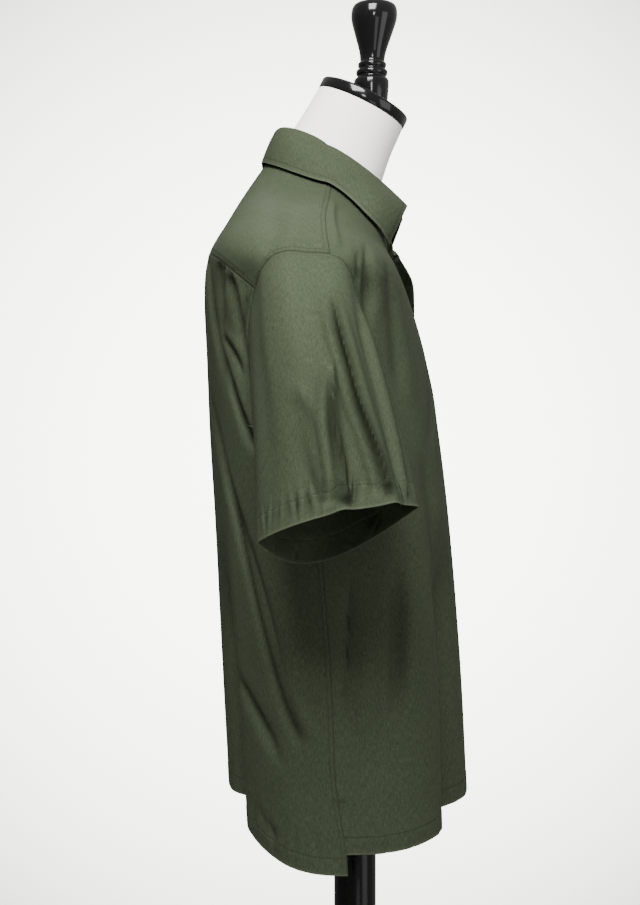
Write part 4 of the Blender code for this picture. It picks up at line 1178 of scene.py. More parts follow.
@dataclass(frozen=True)
class ClothFinish:
    """Woven cloth with its seams, from the thread up; a seamed cloth gets painted shade in its
    seam ditches, stitch lines and sharp creases.
    """

    name: str
    light: Place = (0.045, 0.055, 0.034)
    dark: Place = (0.0245, 0.031, 0.018)
    pitch: float = 0.0005
    mottle: float = 0.3
    hem: float = BODY_HEM
    sheen: float = 0.0
    weave_depth: float = 0.00006
    seam_depth: float = 0.00045
    seamed: bool = True

    def build(self, effects: SharedEffects) -> Material:
        """Build the material.

        Args:
            effects: the shared shader groups.

        Returns:
            The material.
        """
        material, net, shader = blank_material(self.name)
        place = net.shader("TexCoord")
        weave = net.shader(
            "Group", {"node_tree": effects.weave}, Flat_Place=place.outputs["UV"],
            Object_Place=place.outputs["Object"], Light_Thread=(*self.light, 1.0),
            Dark_Thread=(*self.dark, 1.0), Thread_Pitch=self.pitch, Mottle=self.mottle)
        colour = weave.outputs["Color"]
        relief = net.shader(
            "Bump", None, Strength=1.0, Distance=self.weave_depth, Height=weave.outputs["Height"])
        if self.seamed:
            seam = net.shader("Attribute", {"attribute_name": "seam_distance"})
            hem = net.shader("Attribute", {"attribute_name": "hem_distance"})
            seams = net.shader(
                "Group", {"node_tree": effects.seams}, Object_Place=place.outputs["Object"],
                Seam_Distance=seam.outputs["Fac"], Hem_Distance=hem.outputs["Fac"],
                Hem_Width=self.hem)
            # Painted shade: seam ditches, stitch lines, sharp creases and hem puckers are darkened
            # towards this deep tone.
            deep = tuple(part * 0.3 for part in self.dark)
            # A paler tone for the hem's folded edge.
            pale_colour = tuple(min(part * 1.35, 1.0) for part in self.light)
            colour = net.mix(seams.outputs["Shade"], colour, (*deep, 1.0))
            colour = net.mix(seams.outputs["Worn"], colour, (*pale_colour, 1.0))
            # Painted shade of the sharp creases and hem puckers.
            crease = net.shader("Attribute", {"attribute_name": "painted_crease_shade"})
            colour = net.mix(net.times(crease.outputs["Fac"], 0.72), colour, (*deep, 1.0))
            relief = net.shader("Bump", None, Strength=1.0, Distance=self.seam_depth,
                                Height=seams.outputs["Height"], Normal=relief.outputs[0])
        net.feed(shader, Base_Color=colour, Roughness=weave.outputs["Roughness"],
                 Normal=relief.outputs[0])
        shader.inputs["Sheen Weight"].default_value = self.sheen
        shader.inputs["Sheen Roughness"].default_value = 0.4
        shader.inputs["Specular IOR Level"].default_value = 0.03
        material.diffuse_color = (*self.light, 1.0)
        return material


@dataclass(frozen=True)
class GlossFinish:
    """A hard, glossy surface with slight marks of handling."""

    name: str
    colour: Place
    roughness: float = 0.1
    marks: float = 0.08
    coat: float = 0.6
    shine: float = 0.4
    dust: Place = (0.25, 0.25, 0.24)
    dust_share: float = 0.1
    depth: float = 0.00004

    def build(self, effects: SharedEffects) -> Material:
        """Build the material.

        Args:
            effects: the shared shader groups.

        Returns:
            The material.
        """
        material, net, shader = blank_material(self.name)
        place = net.shader("TexCoord")
        haze = net.shader(
            "Group", {"node_tree": effects.haze}, Object_Place=place.outputs["Object"],
            Base_Roughness=self.roughness, Marks=self.marks)
        share = net.times(haze.outputs["Dust"], self.dust_share)
        colour = net.mix(share, (*self.colour, 1.0), (*self.dust, 1.0))
        relief = net.shader(
            "Bump", None, Strength=0.6, Distance=self.depth, Height=haze.outputs["Height"])
        net.feed(shader, Base_Color=colour, Roughness=haze.outputs["Roughness"],
                 Normal=relief.outputs[0])
        shader.inputs["Coat Weight"].default_value = self.coat
        shader.inputs["Coat Roughness"].default_value = 0.05
        shader.inputs["Specular IOR Level"].default_value = self.shine
        material.diffuse_color = (*self.colour, 1.0)
        return material


@dataclass
class Wardrobe:
    """Every finish of the shirt and the form, built once."""

    effects: SharedEffects = field(default_factory=SharedEffects.make)

    def __post_init__(self) -> None:
        """Build the materials."""
        self.body = ClothFinish("olive_cloth_body").build(self.effects)
        self.sleeve = ClothFinish("olive_cloth_sleeve", hem=SLEEVE_HEM_WIDTH).build(self.effects)
        self.collar = ClothFinish("olive_cloth_collar", hem=TOPSTITCH).build(self.effects)
        self.thread = ClothFinish("olive_thread", (0.049, 0.059, 0.038), (0.03, 0.037, 0.023),
                                  pitch=0.0003, seamed=False).build(self.effects)
        self.cover = ClothFinish("cream_form_cover", (0.95, 0.935, 0.87), (0.92, 0.9, 0.83),
                                 pitch=0.0011, mottle=0.15, sheen=0.05, seamed=False,
                                 weave_depth=0.00003).build(self.effects)
        self.lacquer = GlossFinish("black_lacquer", (0.003, 0.003, 0.003), coat=0.22,
                                   shine=0.2, dust_share=0.03).build(self.effects)
        self.enamel = GlossFinish("black_enamel", (0.003, 0.003, 0.003), roughness=0.16,
                                  marks=0.12, coat=0.08, shine=0.12,
                                  dust_share=0.05).build(self.effects)
        self.horn = GlossFinish("dark_button", (0.02, 0.022, 0.017), roughness=0.24,
                                coat=0.3).build(self.effects)


# ---- stitching
@dataclass
class Stitching:
    """Rows of stitches, laid along lines by Geometry Nodes."""

    length: float = 0.0021
    gap: float = 0.0007
    thickness: float = 0.00042

    def tree(self, thread: Material) -> NodeTree:
        """Build the node tree that lays stitches along curves."""
        tree = bpy.data.node_groups.new("stitch_rows", "GeometryNodeTree")
        face = tree.interface
        face.new_socket(name="Geometry", in_out="INPUT", socket_type="NodeSocketGeometry")
        for label in ("Stitch Length", "Stitch Gap", "Thread Thickness"):
            face.new_socket(name=label, in_out="INPUT", socket_type="NodeSocketFloat")
        face.new_socket(name="Geometry", in_out="OUTPUT", socket_type="NodeSocketGeometry")
        net = NodeSketch(tree)
        entry = tree.nodes.new("NodeGroupInput")
        leave = tree.nodes.new("NodeGroupOutput")
        length, gap = entry.outputs["Stitch Length"], entry.outputs["Stitch Gap"]
        pitch = net.maths("ADD", length, gap)
        rows = net.node("GeometryNodeResampleCurve", {"mode": "LENGTH"},
                        Curve=entry.outputs["Geometry"], Length=pitch)
        half = net.times(length, 0.5)
        back = net.times(length, -0.5)
        start = net.shader("CombineXYZ", None, Z=back)
        end = net.shader("CombineXYZ", None, Z=half)
        line = net.node(
            "GeometryNodeCurvePrimitiveLine", None, Start=start.outputs[0], End=end.outputs[0])
        bead = net.node(
            "GeometryNodeResampleCurve", {"mode": "COUNT"}, Curve=line.outputs[0], Count=4)
        thick = net.times(entry.outputs["Thread Thickness"], 0.5)
        factor = net.node("GeometryNodeSplineParameter").outputs["Factor"]
        arch = net.maths("SINE", net.times(factor, math.pi))
        swell = net.maths("MULTIPLY_ADD", arch, 0.6, 0.45)
        round_wire = net.node("GeometryNodeCurvePrimitiveCircle", None, Resolution=5, Radius=thick)
        scaled = net.node("GeometryNodeSetCurveRadius", None, Curve=bead.outputs[0], Radius=swell)
        stitch = net.node("GeometryNodeCurveToMesh", None, Curve=scaled.outputs[0],
                          Profile_Curve=round_wire.outputs[0], Scale=swell, Fill_Caps=True)
        tangent = net.node("GeometryNodeInputTangent")
        turn = net.node(
            "FunctionNodeAlignRotationToVector", {"axis": "Z"}, Vector=tangent.outputs[0])
        laid = net.node("GeometryNodeInstanceOnPoints", None, Points=rows.outputs[0],
                        Instance=stitch.outputs[0], Rotation=turn.outputs[0])
        real = net.node("GeometryNodeRealizeInstances", None, Geometry=laid.outputs[0])
        dressed = net.node(
            "GeometryNodeSetMaterial", None, Geometry=real.outputs[0], Material=thread)
        tree.links.new(dressed.outputs[0], leave.inputs[0])
        return tree

    def sew(self, name: str, lines: Sequence[Array], thread: Material) -> Object:
        """Sew rows of stitches.

        Args:
            name: the piece's name.
            lines: the points of each row.
            thread: the thread's material.

        Returns:
            One mesh piece that holds every stitch.
        """
        curve = bpy.data.curves.new(name + "_rows", "CURVE")
        curve.dimensions = "3D"
        for points in lines:
            if len(points) < 2:
                continue
            spline = curve.splines.new("POLY")
            spline.points.add(len(points) - 1)
            spline.points.foreach_set(
                "co", np.concatenate([points, np.ones((len(points), 1))], 1).ravel())
        rows = add_object(name + "_rows", curve)
        tree = self.tree(thread)
        modifier = rows.modifiers.new("stitches", "NODES")
        modifier.node_group = tree
        sizes = {"Stitch Length": self.length, "Stitch Gap": self.gap,
                 "Thread Thickness": self.thickness}
        for item in tree.interface.items_tree:
            if item.in_out == "INPUT" and item.name in sizes:
                modifier[item.identifier] = sizes[item.name]
        shown = rows.evaluated_get(bpy.context.evaluated_depsgraph_get())
        mesh = bpy.data.meshes.new_from_object(shown)
        mesh.name = name
        bpy.data.objects.remove(rows)
        mesh.shade_smooth()
        return add_object(name, mesh)


# ---- the shirt
def side_seam_angle(level: Array) -> Array:
    """Give the angle of the side seam, which swings forward at the vent."""
    return SIDE_SEAM + VENT_SHIFT * (1.0 - smoothstep(level / 0.55))


@dataclass
class ShirtBody:
    """The two fronts, the back and the yoke, cut from one surface."""

    surface: BodySurface = field(default_factory=BodySurface)
    cell: float = CELL

    def spread(self, path: Callable[[Array], Array]) -> Array:
        """Share out a path's places, angle and level, so that they lie evenly."""
        return path(even_places(lambda share: self.surface.base_points(*path(share).T), self.cell))

    def armhole(self, first: float, last: float) -> Array:
        """List evenly spread places along part of the armhole."""
        table = np.array(ARMHOLE)[:, :2]
        return self.spread(lambda share: catmull(table, first + (last - first) * share))

    def side_seam(self, hem: float) -> Array:
        """List places up the side seam from the hem to the underarm."""

        def path(share: Array) -> Array:
            level = hem + (UNDERARM_LEVEL - hem) * share
            return np.stack([side_seam_angle(level), level], axis=1)

        return self.spread(path)

    def front_seam(self) -> Array:
        """List places up the front yoke seam from the armhole to the neck."""
        low = np.array([YOKE_SEAM_LOW, SHOULDER_LEVEL])
        high = np.array([YOKE_SEAM_HIGH, NECK_LEVEL])
        return self.spread(lambda share: low + (high - low) * share[:, None])

    @staticmethod
    def back_seam(share: Array) -> Array:
        """Give angle and level of the back yoke seam, from the right armhole to the left."""
        corner = ARMHOLE[BACK_YOKE_INDEX][0]
        rise = SHOULDER_LEVEL - BACK_SEAM_LEVEL
        return np.stack([corner + (360.0 - 2.0 * corner) * share,
                         SHOULDER_LEVEL - rise * np.abs(1.0 - 2.0 * share) ** 1.8], axis=-1)

    def across(self, start: float, end: float, level: float) -> Array:
        """Share out a row's columns evenly, judged at one level."""
        return even_places(lambda share: self.surface.base_points(
            start + (end - start) * share, np.full(len(share), level)), self.cell)

    def front(self, side: Side) -> ClothGrid:
        """Cut one front.

        Args:
            side: the wearer's side.

        Returns:
            Its grid, from the front edge to the side.
        """
        outer = np.concatenate(
            [self.side_seam(HEM_FRONT_LEVEL), self.armhole(0, FRONT_YOKE_INDEX)[1:],
             self.front_seam()[1:]])
        level = outer[:, 1][:, None]
        start = self.surface.edge_angle(level, side) * side.value
        end = outer[:, :1]
        share = self.across(5.0, 90.0, 2.0)[None, :]
        angle = side.value * (start + (end - start) * share)
        level = np.broadcast_to(level, angle.shape)
        points, normals = self.surface.frames(angle, level)
        if side is Side.RIGHT:
            left_edge = self.surface.edge_angle(level, Side.LEFT)
            under = smoothstep((left_edge + UNDERLAP_RUN - angle) / UNDERLAP_RUN)
            under = under * (1.0 - smoothstep((level - UNDERLAP_END) / 0.5))
            points = points - normals * (LAP * under)[..., None]
        grid = ClothGrid(points, flip=side is Side.RIGHT, hemmed=(Border.BOTTOM,),
                         shade=self.surface.painted_crease_shade(angle, level))
        return grid.tucked(Border.RIGHT)

    def back(self) -> ClothGrid:
        """Cut the back, from side seam to side seam under the yoke."""
        armhole = self.armhole(BACK_YOKE_INDEX, UNDERARM_INDEX)[::-1]
        outer = np.concatenate([self.side_seam(HEM_BACK_LEVEL), armhole[1:]])
        share = self.across(SIDE_SEAM, 360.0 - SIDE_SEAM, 2.0)[None, :]
        stretch = self.back_seam(share)[..., 1] / BACK_SEAM_LEVEL
        angle = outer[:, :1] + (360.0 - 2.0 * outer[:, :1]) * share
        level = outer[:, 1:] * stretch
        points = self.surface.points(angle, level)
        grid = ClothGrid(
            points, flip=True, sewn=(Border.LEFT, Border.RIGHT), hemmed=(Border.BOTTOM,),
            shade=self.surface.painted_crease_shade(angle, level))
        return grid.tucked(Border.TOP)

    def yoke(self) -> ClothGrid:
        """Cut the yoke, which lies over both shoulders."""
        armhole = self.armhole(FRONT_YOKE_INDEX, BACK_YOKE_INDEX)
        seam = self.spread(self.back_seam)
        far = armhole[:-1][::-1].copy()
        far[:, 0] = 360.0 - far[:, 0]
        lower = np.concatenate([armhole[:-1], seam, far])
        upper = YOKE_SEAM_HIGH + (360.0 - 2.0 * YOKE_SEAM_HIGH) * np.linspace(0, 1, len(lower))
        share = np.linspace(0.0, 1.0, int(0.155 / self.cell))[:, None]
        angle = lower[:, 0] + (upper - lower[:, 0]) * share
        level = lower[:, 1] + (NECK_LEVEL - lower[:, 1]) * share
        points = self.surface.points(angle, level)
        return ClothGrid(points, flip=True, sewn=(Border.BOTTOM, Border.LEFT, Border.RIGHT),
                         shade=self.surface.painted_crease_shade(angle, level))


@dataclass
class Sleeves:
    """The two short sleeves, tubes from the dropped armhole to the open hem."""

    body: BodySurface
    cell: float = FINE_CELL
    rows: int = 138

    def surface(self, side: Side) -> SleeveSurface:
        """Give one sleeve's surface, drawn as the right one."""
        return SleeveSurface(body=self.body, side=side)

    def grid(self, surface: SleeveSurface) -> ClothGrid:
        """Cut one sleeve."""
        turns = even_places(lambda part: surface.hem_points(180.0 - 360.0 * part), self.cell)
        index = surface.index_of(180.0 - 360.0 * turns[:-1])[None, :]
        share = np.linspace(0.0, 1.0, self.rows)[:, None]
        index, share = np.broadcast_arrays(index, share)
        grid = ClothGrid(surface.points(index, share), closed=True, sewn=(Border.BOTTOM,),
                         hemmed=(Border.TOP,), shade=surface.painted_crease_shade(index, share))
        return grid.thicken_hem(Border.TOP, SLEEVE_HEM_WIDTH, 0.0005).tucked(Border.BOTTOM)

    def underarm_strip(self, surface: SleeveSurface, name: str) -> tuple[Object, list]:
        """Make the pressed seam inside the underarm.

        Args:
            surface: the sleeve's surface.
            name: the piece's name.

        Returns:
            The strip and the lines of its stitching.
        """
        share = np.linspace(0.06, 0.995, 90)
        index = np.zeros(len(share))
        points, normals = surface.frames(index, share)
        ahead, _ = surface.frames(index + 0.3, share)
        around = unit(ahead - points)
        columns = np.linspace(-0.001, 0.01, 6)
        wave = 0.00035 * np.sin(share * 60.0)
        grid = np.stack([points + around * offset
                         - normals * (CLOTH + 0.0011 + wave * (offset > 0.004))[:, None]
                         for offset in columns], axis=1)
        lines = [grid[:, column] - normals * 0.0008 for column in (1, 4)]
        if surface.side is Side.LEFT:
            grid, lines = grid * MIRROR, [line * MIRROR for line in lines]
        cloth = ClothGrid(grid, flip=surface.side is Side.LEFT, thickness=0.0007)
        return cloth.shell(name), lines


@dataclass
class Collar:
    """The collar stand and the fall folded over it."""

    body: BodySurface
    cell: float = 0.0026
    stand_rows: int = 12
    fall_rows: int = 34

    def angles(self) -> Array:
        """List evenly spread angles, from the right end round the back to the left end."""
        ring = np.array([COLLAR_FOLD.row()])

        def place(share: Array) -> Array:
            angle = NECK_END + (360.0 - 2.0 * NECK_END) * share
            return self.body.on_ring(np.repeat(ring, len(share), 0), angle)

        return NECK_END + (360.0 - 2.0 * NECK_END) * even_places(place, self.cell)

    def fold(self, angle: Array) -> tuple[Array, Array]:
        """Give the fold's points and the level direction out of the collar."""
        ring = np.repeat(np.array([COLLAR_FOLD.row()]), len(angle), 0)
        ahead = self.body.on_ring(ring, angle + 1.0) - self.body.on_ring(ring, angle - 1.0)
        ahead[:, 2] = 0.0
        return self.body.on_ring(ring, angle), unit(np.cross(UP, ahead))

    def stand(self) -> ClothGrid:
        """Cut the band that rises from the neck seam."""
        angle = self.angles()
        top, out = self.fold(angle)
        low = self.body.base_points(angle, np.full(len(angle), NECK_LEVEL)) + UP * SEAM_GAP
        high = top - UP * (0.0015 + FOLD_CLEAR)
        share = np.linspace(0.0, 1.0, self.stand_rows)[:, None, None]
        points = low + (high - low) * share + out * 0.001 * np.sin(np.pi * share)
        return ClothGrid(points, flip=True, sewn=(Border.BOTTOM,))

    def edge(self, angle: Array) -> Array:
        """Give the collar's lower edge, which rests on the cloth under it."""
        side = np.where(angle > 180.0, -1.0, 1.0)
        folded = np.where(angle > 180.0, 360.0 - angle, angle)
        around = table_value(COLLAR_EDGE, 1, folded) * side
        level = table_value(COLLAR_EDGE, 2, folded)
        points, normals = self.body.frames(around, level)
        return points + normals * (0.0015 + COLLAR_REST)

    def fall(self) -> ClothGrid:
        """Cut the fall, folded over the stand and lying on the shoulders."""
        angle = self.angles()
        top, out = self.fold(angle)
        edge = self.edge(angle)
        shoulder = top + out * FALL_TURN_OUT - UP * FALL_TURN_DOWN
        back = np.maximum(-np.cos(np.radians(angle)), 0.0) ** 2
        fullness = FALL_BULGE_SIDE + (FALL_BULGE_BACK - FALL_BULGE_SIDE) * back
        column = [top - out * 0.0016 - UP * 0.0002, top + out * 0.0012]
        for share in np.linspace(0.0, 1.0, 9):
            bulge = (fullness * math.sin(math.pi * share))[:, None]
            column.append(shoulder + (edge - shoulder) * share + (out * 0.6 + UP * 0.8) * bulge)
        controls = np.array(column).reshape(len(column), -1)
        place = np.concatenate(
            [np.linspace(0.0, 2.0, 9)[:-1],
             np.linspace(2.0, len(column) - 1.0, self.fall_rows - 8)])
        points = catmull(controls, place).reshape(len(place), -1, 3)
        return ClothGrid(
            points, flip=True, thickness=0.0015, hemmed=(Border.TOP, Border.LEFT, Border.RIGHT))


@dataclass
class Button:
    """The four-hole button at the foot of the open neck, with its thread."""

    body: BodySurface
    radius: float = BUTTON_RADIUS
    thickness: float = BUTTON_THICKNESS
    hole_radius: float = 0.00075
    hole_spread: float = 0.0011

    def frame(self) -> tuple[Array, Array]:
        """Give the button's place and the matrix that turns its axis outwards."""
        point, normal = self.body.frames(np.array([0.0]), np.array([BUTTON_LEVEL]))
        axis = normal[0]
        side = unit(np.cross(UP, axis))
        return point[0], np.stack([side, np.cross(axis, side), axis], axis=1)

    def disc(self, name: str) -> Object:
        """Turn the disc and drill its holes."""
        point, turn = self.frame()
        r, t = self.radius, SEAM_GAP + self.thickness
        profile = ((0.7, SEAM_GAP), (0.9, SEAM_GAP), (0.985, 0.0009), (1.0, 0.0014),
                   (0.985, 0.002), (0.93, t - 0.0001), (0.86, t), (0.78, t - 0.0002),
                   (0.7, t - 0.0008), (0.6, t - 0.001), (0.3, t - 0.001))
        around = np.linspace(0.0, math.tau, 48, endpoint=False)
        rings = np.array([[(reach * r * math.cos(a), reach * r * math.sin(a), height)
                           for a in around] for reach, height in profile])
        disc = loft(name, rings @ turn.T + point, 60.0)
        for x in (-1.0, 1.0):
            for y in (-1.0, 1.0):
                centre = np.array([x, y, 0.0]) * self.hole_spread
                bore = np.array([[(self.hole_radius * math.cos(a),
                                   self.hole_radius * math.sin(a), height)
                                  for a in around[::4]] for height in (-0.002, 0.006)])
                tool = loft("bore", (bore + centre) @ turn.T + point)
                cut = disc.modifiers.new("hole", "BOOLEAN")
                cut.object = tool
                cut.solver = "EXACT"
                shown = disc.evaluated_get(bpy.context.evaluated_depsgraph_get())
                mesh = bpy.data.meshes.new_from_object(shown)
                disc.modifiers.clear()
                disc.data = mesh
                bpy.data.objects.remove(tool)
        disc.data.shade_smooth()
        disc.data.set_sharp_from_angle(angle=math.radians(40.0))
        return disc

    def thread_lines(self) -> list[Array]:
        """List the thread's passes between the holes."""
        point, turn = self.frame()
        top = SEAM_GAP + self.thickness - 0.0009
        lines = []
        for y in (-self.hole_spread, self.hole_spread):
            for shift in (-0.0003, 0.0, 0.0003):
                run = np.array([(x * self.hole_spread, y + shift, top + 0.0004 * (1 - x * x))
                                for x in np.linspace(-1.0, 1.0, 7)])
                lines.append(run @ turn.T + point)
        return lines

    def buttonhole_lines(self) -> list[Array]:
        """List the rows of close stitching round the upright slit."""
        rows = []
        level = np.linspace(BUTTON_LEVEL - 0.13, BUTTON_LEVEL + 0.16, 12)
        for angle in (-0.52, -0.42, -0.32, 0.32, 0.42, 0.52):
            points, normals = self.body.frames(np.full(12, angle), level)
            rows.append(points + normals * 0.0002)
        return rows


# ---- the dress form
@dataclass(frozen=True)
class Level:
    """One level oval of the form's torso."""

    z: float
    centre_y: float
    half_width: float
    front: float
    back: float


@dataclass(frozen=True)
class Oval:
    """One oval of the form's neck, leaning forward."""

    centre_y: float
    centre_z: float
    half_width: float
    half_depth: float
    tilt: float


@dataclass
class DressForm:
    """The limbless form: torso and neck, cap, finial, pole and base."""

    body: BodySurface
    segments: int = 96
    torso_bottom: float = 0.82
    neck_tilt: float = 26.0
    cap_thickness: float = 0.014
    pole_radius: float = 0.025
    base_radius: float = 0.17
    base_thickness: float = 0.022
    torso: tuple[Level, ...] = (
        Level(0.82, 0.005, 0.158, 0.103, 0.113), Level(0.835, 0.005, 0.164, 0.108, 0.118),
        Level(0.92, 0.005, 0.168, 0.11, 0.12), Level(1.0, 0.012, 0.152, 0.102, 0.106),
        Level(1.08, 0.02, 0.138, 0.095, 0.095), Level(1.16, 0.028, 0.148, 0.102, 0.105),
        Level(1.24, 0.036, 0.164, 0.108, 0.115), Level(1.3, 0.044, 0.18, 0.1, 0.115),
        Level(1.345, 0.048, 0.192, 0.088, 0.112), Level(1.372, 0.05, 0.193, 0.08, 0.106),
    )
    shoulders: tuple[float, ...] = (7.15, 7.4, 7.7, 8.0, 8.3, 8.6)
    neck: tuple[Oval, ...] = (
        Oval(0.038, 1.4585, 0.067, 0.06, 33.0), Oval(0.0328, 1.479, 0.061, 0.0615, 31.0),
        Oval(0.0245, 1.4985, 0.057, 0.062, 28.5), Oval(0.01, 1.53, 0.0535, 0.058, 27.0),
        Oval(-0.0068, 1.5625, 0.0525, 0.0555, 26.0),
    )
    finial_y: float = -0.0195
    finial_lean: float = 0.042
    finial: tuple[tuple[float, float], ...] = (
        (0.0212, 1.59), (0.0205, 1.5965), (0.0172, 1.6005), (0.0186, 1.6035),
        (0.0186, 1.6075), (0.0158, 1.61), (0.0168, 1.6128), (0.0168, 1.6165),
        (0.0147, 1.6195), (0.0165, 1.632), (0.0225, 1.652), (0.0268, 1.667),
        (0.0276, 1.6765), (0.0258, 1.6845), (0.0205, 1.6895), (0.0135, 1.693),
        (0.0128, 1.697), (0.0138, 1.7015), (0.0118, 1.708), (0.0065, 1.713),
        (0.002, 1.7148),
    )

    def turns(self) -> Array:
        """List the angles round the form, in degrees."""
        return np.linspace(0.0, 360.0, self.segments, endpoint=False)

    def oval_points(self, oval: Oval) -> Array:
        """Give the points of a leaning oval."""
        turn, tilt = np.radians(self.turns()), math.radians(oval.tilt)
        across, ahead = -oval.half_width * np.sin(turn), -oval.half_depth * np.cos(turn)
        return np.stack([across, oval.centre_y + ahead * math.cos(tilt),
                         oval.centre_z + ahead * math.sin(tilt)], axis=1)

    def shoulder_points(self, level: float) -> Array:
        """Give a ring of the form's shoulders, close under the yoke."""
        ring = catmull(self.body.table, np.array([level]))[0].copy()
        outer = float(smoothstep(np.array((7.7 - level) / 0.7)))
        ring[0] = -0.014
        ring[1] -= 0.016
        ring[3] -= 0.004 * outer
        ring[4] += 0.012 * (level - 7.0)
        ring[5] -= 0.0023 / math.cos(math.radians(30.0)) + 0.016 * outer
        ring[6] -= 0.008
        return self.body.on_ring(np.repeat(ring[None], self.segments, 0), self.turns())

    def make_torso(self) -> Object:
        """Loft the torso, the shoulders and the neck as one smooth body."""
        rings = []
        for row in self.torso:
            ring = np.array([[row.centre_y - row.front, row.centre_y + row.back, row.centre_y,
                              row.half_width, row.z, row.z, row.z, 0.92, 1.0, 1.0]])
            rings.append(self.body.on_ring(np.repeat(ring, self.segments, 0), self.turns()))
        rings += [self.shoulder_points(level) for level in self.shoulders]
        rings += [self.oval_points(oval) for oval in self.neck]
        stack = np.array(rings).reshape(len(rings), -1)
        place = np.linspace(0.0, len(rings) - 1.0, 4 * (len(rings) - 1) + 1)
        return loft("form_torso_cover", catmull(stack, place).reshape(len(place), -1, 3), 50.0)

    def neck_axis(self) -> tuple[Array, Array]:
        """Give the middle of the neck's top and its direction."""
        lean = math.radians(self.neck_tilt)
        return (np.array([0.0, self.neck[-1].centre_y, self.neck[-1].centre_z]),
                np.array([0.0, -math.sin(lean), math.cos(lean)]))

    def make_cap(self) -> Object:
        """Turn the oval cap with its eased edges."""
        middle, axis = self.neck_axis()
        profile = ((-0.0005, 0.0003), (0.0004, 0.0008), (0.0008, 0.0018), (0.0009, 0.006),
                   (0.0008, 0.0108), (0.0004, 0.0126), (-0.0006, 0.0138), (-0.0022, 0.0143))
        rings = []
        for grow, rise in profile:
            centre = middle + axis * rise
            rings.append(
                self.oval_points(Oval(centre[1], centre[2], self.neck[-1].half_width + grow,
                                      self.neck[-1].half_depth + grow, self.neck_tilt)))
        return loft("form_neck_cap_gloss", np.array(rings), 60.0)

    def make_finial(self) -> Object:
        """Turn the finial that stands on the cap."""
        middle, axis = self.neck_axis()
        cap_top = middle + axis * (self.cap_thickness + 2.0 * SEAM_GAP)
        profile = np.array(self.finial)
        profile = catmull(profile, np.linspace(0.0, len(profile) - 1.0, 4 * len(profile) - 3))
        around = np.radians(self.turns())
        rings = []
        for radius, z in [(0.019, profile[0, 1])] + [tuple(row) for row in profile]:
            centre_y = self.finial_y - self.finial_lean * (z - profile[0, 1])
            rings.append(np.stack([radius * np.cos(around), centre_y + radius * np.sin(around),
                                   np.full(len(around), z)], axis=1))
        rings[0][:, 2] = cap_top[2] - (rings[0][:, 1] - cap_top[1]) * axis[1] / axis[2]
        return loft("form_finial_gloss", np.array(rings), 60.0)

    def make_round(self, name: str, profile: Sequence[tuple[float, float]]) -> Object:
        """Turn an upright round piece from its radii and heights."""
        around = np.radians(self.turns())
        rings = np.array([[(radius * math.cos(a), radius * math.sin(a), z) for a in around]
                          for radius, z in profile])
        return loft(name, rings, 60.0)

    def make_pole(self) -> Object:
        """Make the round pole between base and torso."""
        low, high, r = self.base_thickness + 0.0023, self.torso_bottom - 0.0003, self.pole_radius
        return self.make_round("form_pole_gloss", (
            (r - 0.0006, low), (r, low + 0.0006), (r, high - 0.0006), (r - 0.0006, high)))

    def make_base(self) -> Object:
        """Make the round base with its eased edge."""
        r, t = self.base_radius, self.base_thickness
        return self.make_round("form_base_gloss", (
            (r - 0.002, 0.0), (r, 0.002), (r, t - 0.008), (r - 0.0008, t - 0.0045),
            (r - 0.003, t - 0.0018), (r - 0.0065, t - 0.0003), (r - 0.012, t),
            (0.09, t + 0.0012), (0.03, t + 0.002)))


